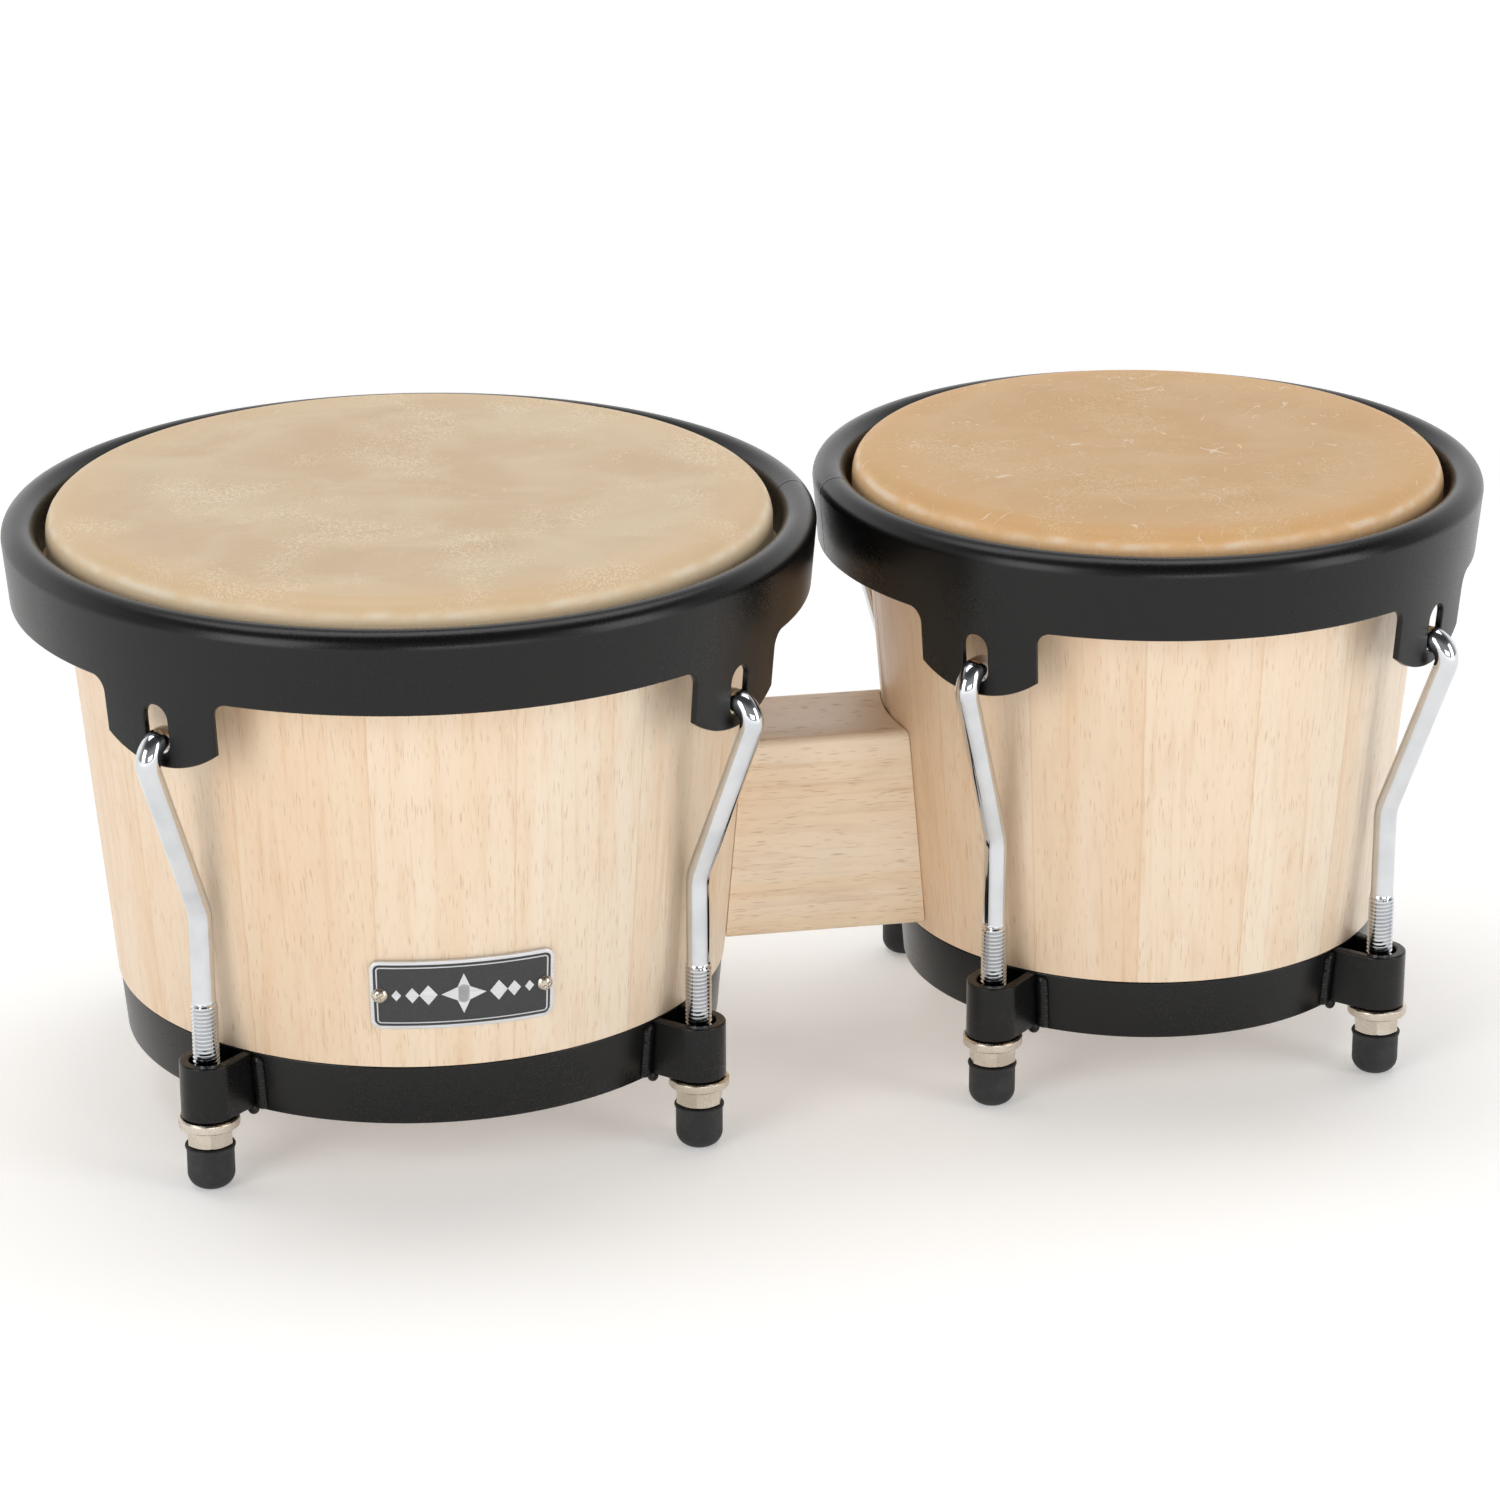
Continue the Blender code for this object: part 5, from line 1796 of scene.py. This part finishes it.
def build_drum(drum: DrumFrame, skin: Rawhide, seam_side: float, finishes: dict[Slot, Material]) -> None:
    """Build everything that belongs to one drum.

    Args:
        drum: Its places and sizes.
        skin: Its rawhide.
        seam_side: The way along X on which the rim is welded.
        finishes: The finishes that both drums share.
    """
    wood = Rubberwood(f"lacquered_rubberwood_staves_{drum.name}", Grain.STAVES, drum.axis_x)
    Shell(drum).build(wood.make())
    head = Skin(drum)
    head.build(skin.make())
    head.build_hoop(finishes[Slot.ZINC])
    Rim(drum).build(PowderCoat(f"black_powder_coat_{drum.name}_rim", drum.axis_x, seam_side).make())
    band = FootBand(drum)
    band.build(finishes[Slot.BLACK_STEEL])
    band.build_lugs(finishes[Slot.BLACK_STEEL])
    Hooks(drum).build(finishes[Slot.CHROME])
    FlangeNuts(drum).build(finishes[Slot.NICKEL])
    RubberFeet(drum).build(finishes[Slot.RUBBER])


def write_sizes() -> None:
    """Gather the CAD model's box and the visual model's box into a table, which is not kept."""
    boxes = {"cad": CAD_BOX, "visual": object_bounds()}
    {name: [list(corner) for corner in box] for name, box in boxes.items()}


def main() -> None:
    """Build the pair of drums and the studio round it."""
    logging.basicConfig(level=logging.INFO, format="%(name)s: %(message)s")
    large, small = DrumFrame("large"), DrumFrame("small")
    Studio(Vector((9.2 * MM, 0, 94.2 * MM))).build()
    plain = {Slot.CHROME: CHROME, Slot.NICKEL: NICKEL, Slot.ZINC: ZINC, Slot.RUBBER: RUBBER}
    finishes = {Slot.BLACK_STEEL: PowderCoat("black_powder_coat").make()}
    finishes |= {slot: finish.make() for slot, finish in plain.items()}
    build_drum(large, Rawhide(
        "dried_rawhide_large", large.axis_x, large.collar_radius, large.play_z,
        body="CBAE8A", cloud="D5BF9E", edge="D8B98F", collar="ECD2AC", fuzz=0.55, fibres=0.18,
    ), 1.0, finishes)
    build_drum(small, Rawhide(
        "dried_rawhide_small", small.axis_x, small.collar_radius, small.play_z,
        body="C79E6C", cloud="CFAA7C", edge="D2A56D", collar="EBBF8A", fuzz=0.28, fibres=0.50,
    ), -1.0, finishes)
    block = JoiningBlock((large, small))
    # Painted light: the board's cream and blush are lighter than the staves' to stand for light that the
    # shells keep off it.
    block.build(Rubberwood("lacquered_rubberwood_board", Grain.BOARD, cream="FCF1E0", blush="F5D9B4").make())
    block.build_hardware(finishes[Slot.ZINC])
    badge = Badge(large)
    badge.build(ALUMINIUM.make(), ENAMEL.make())
    badge.build_screws(finishes[Slot.NICKEL])
    write_sizes()


if __name__ == "__main__":
    main()
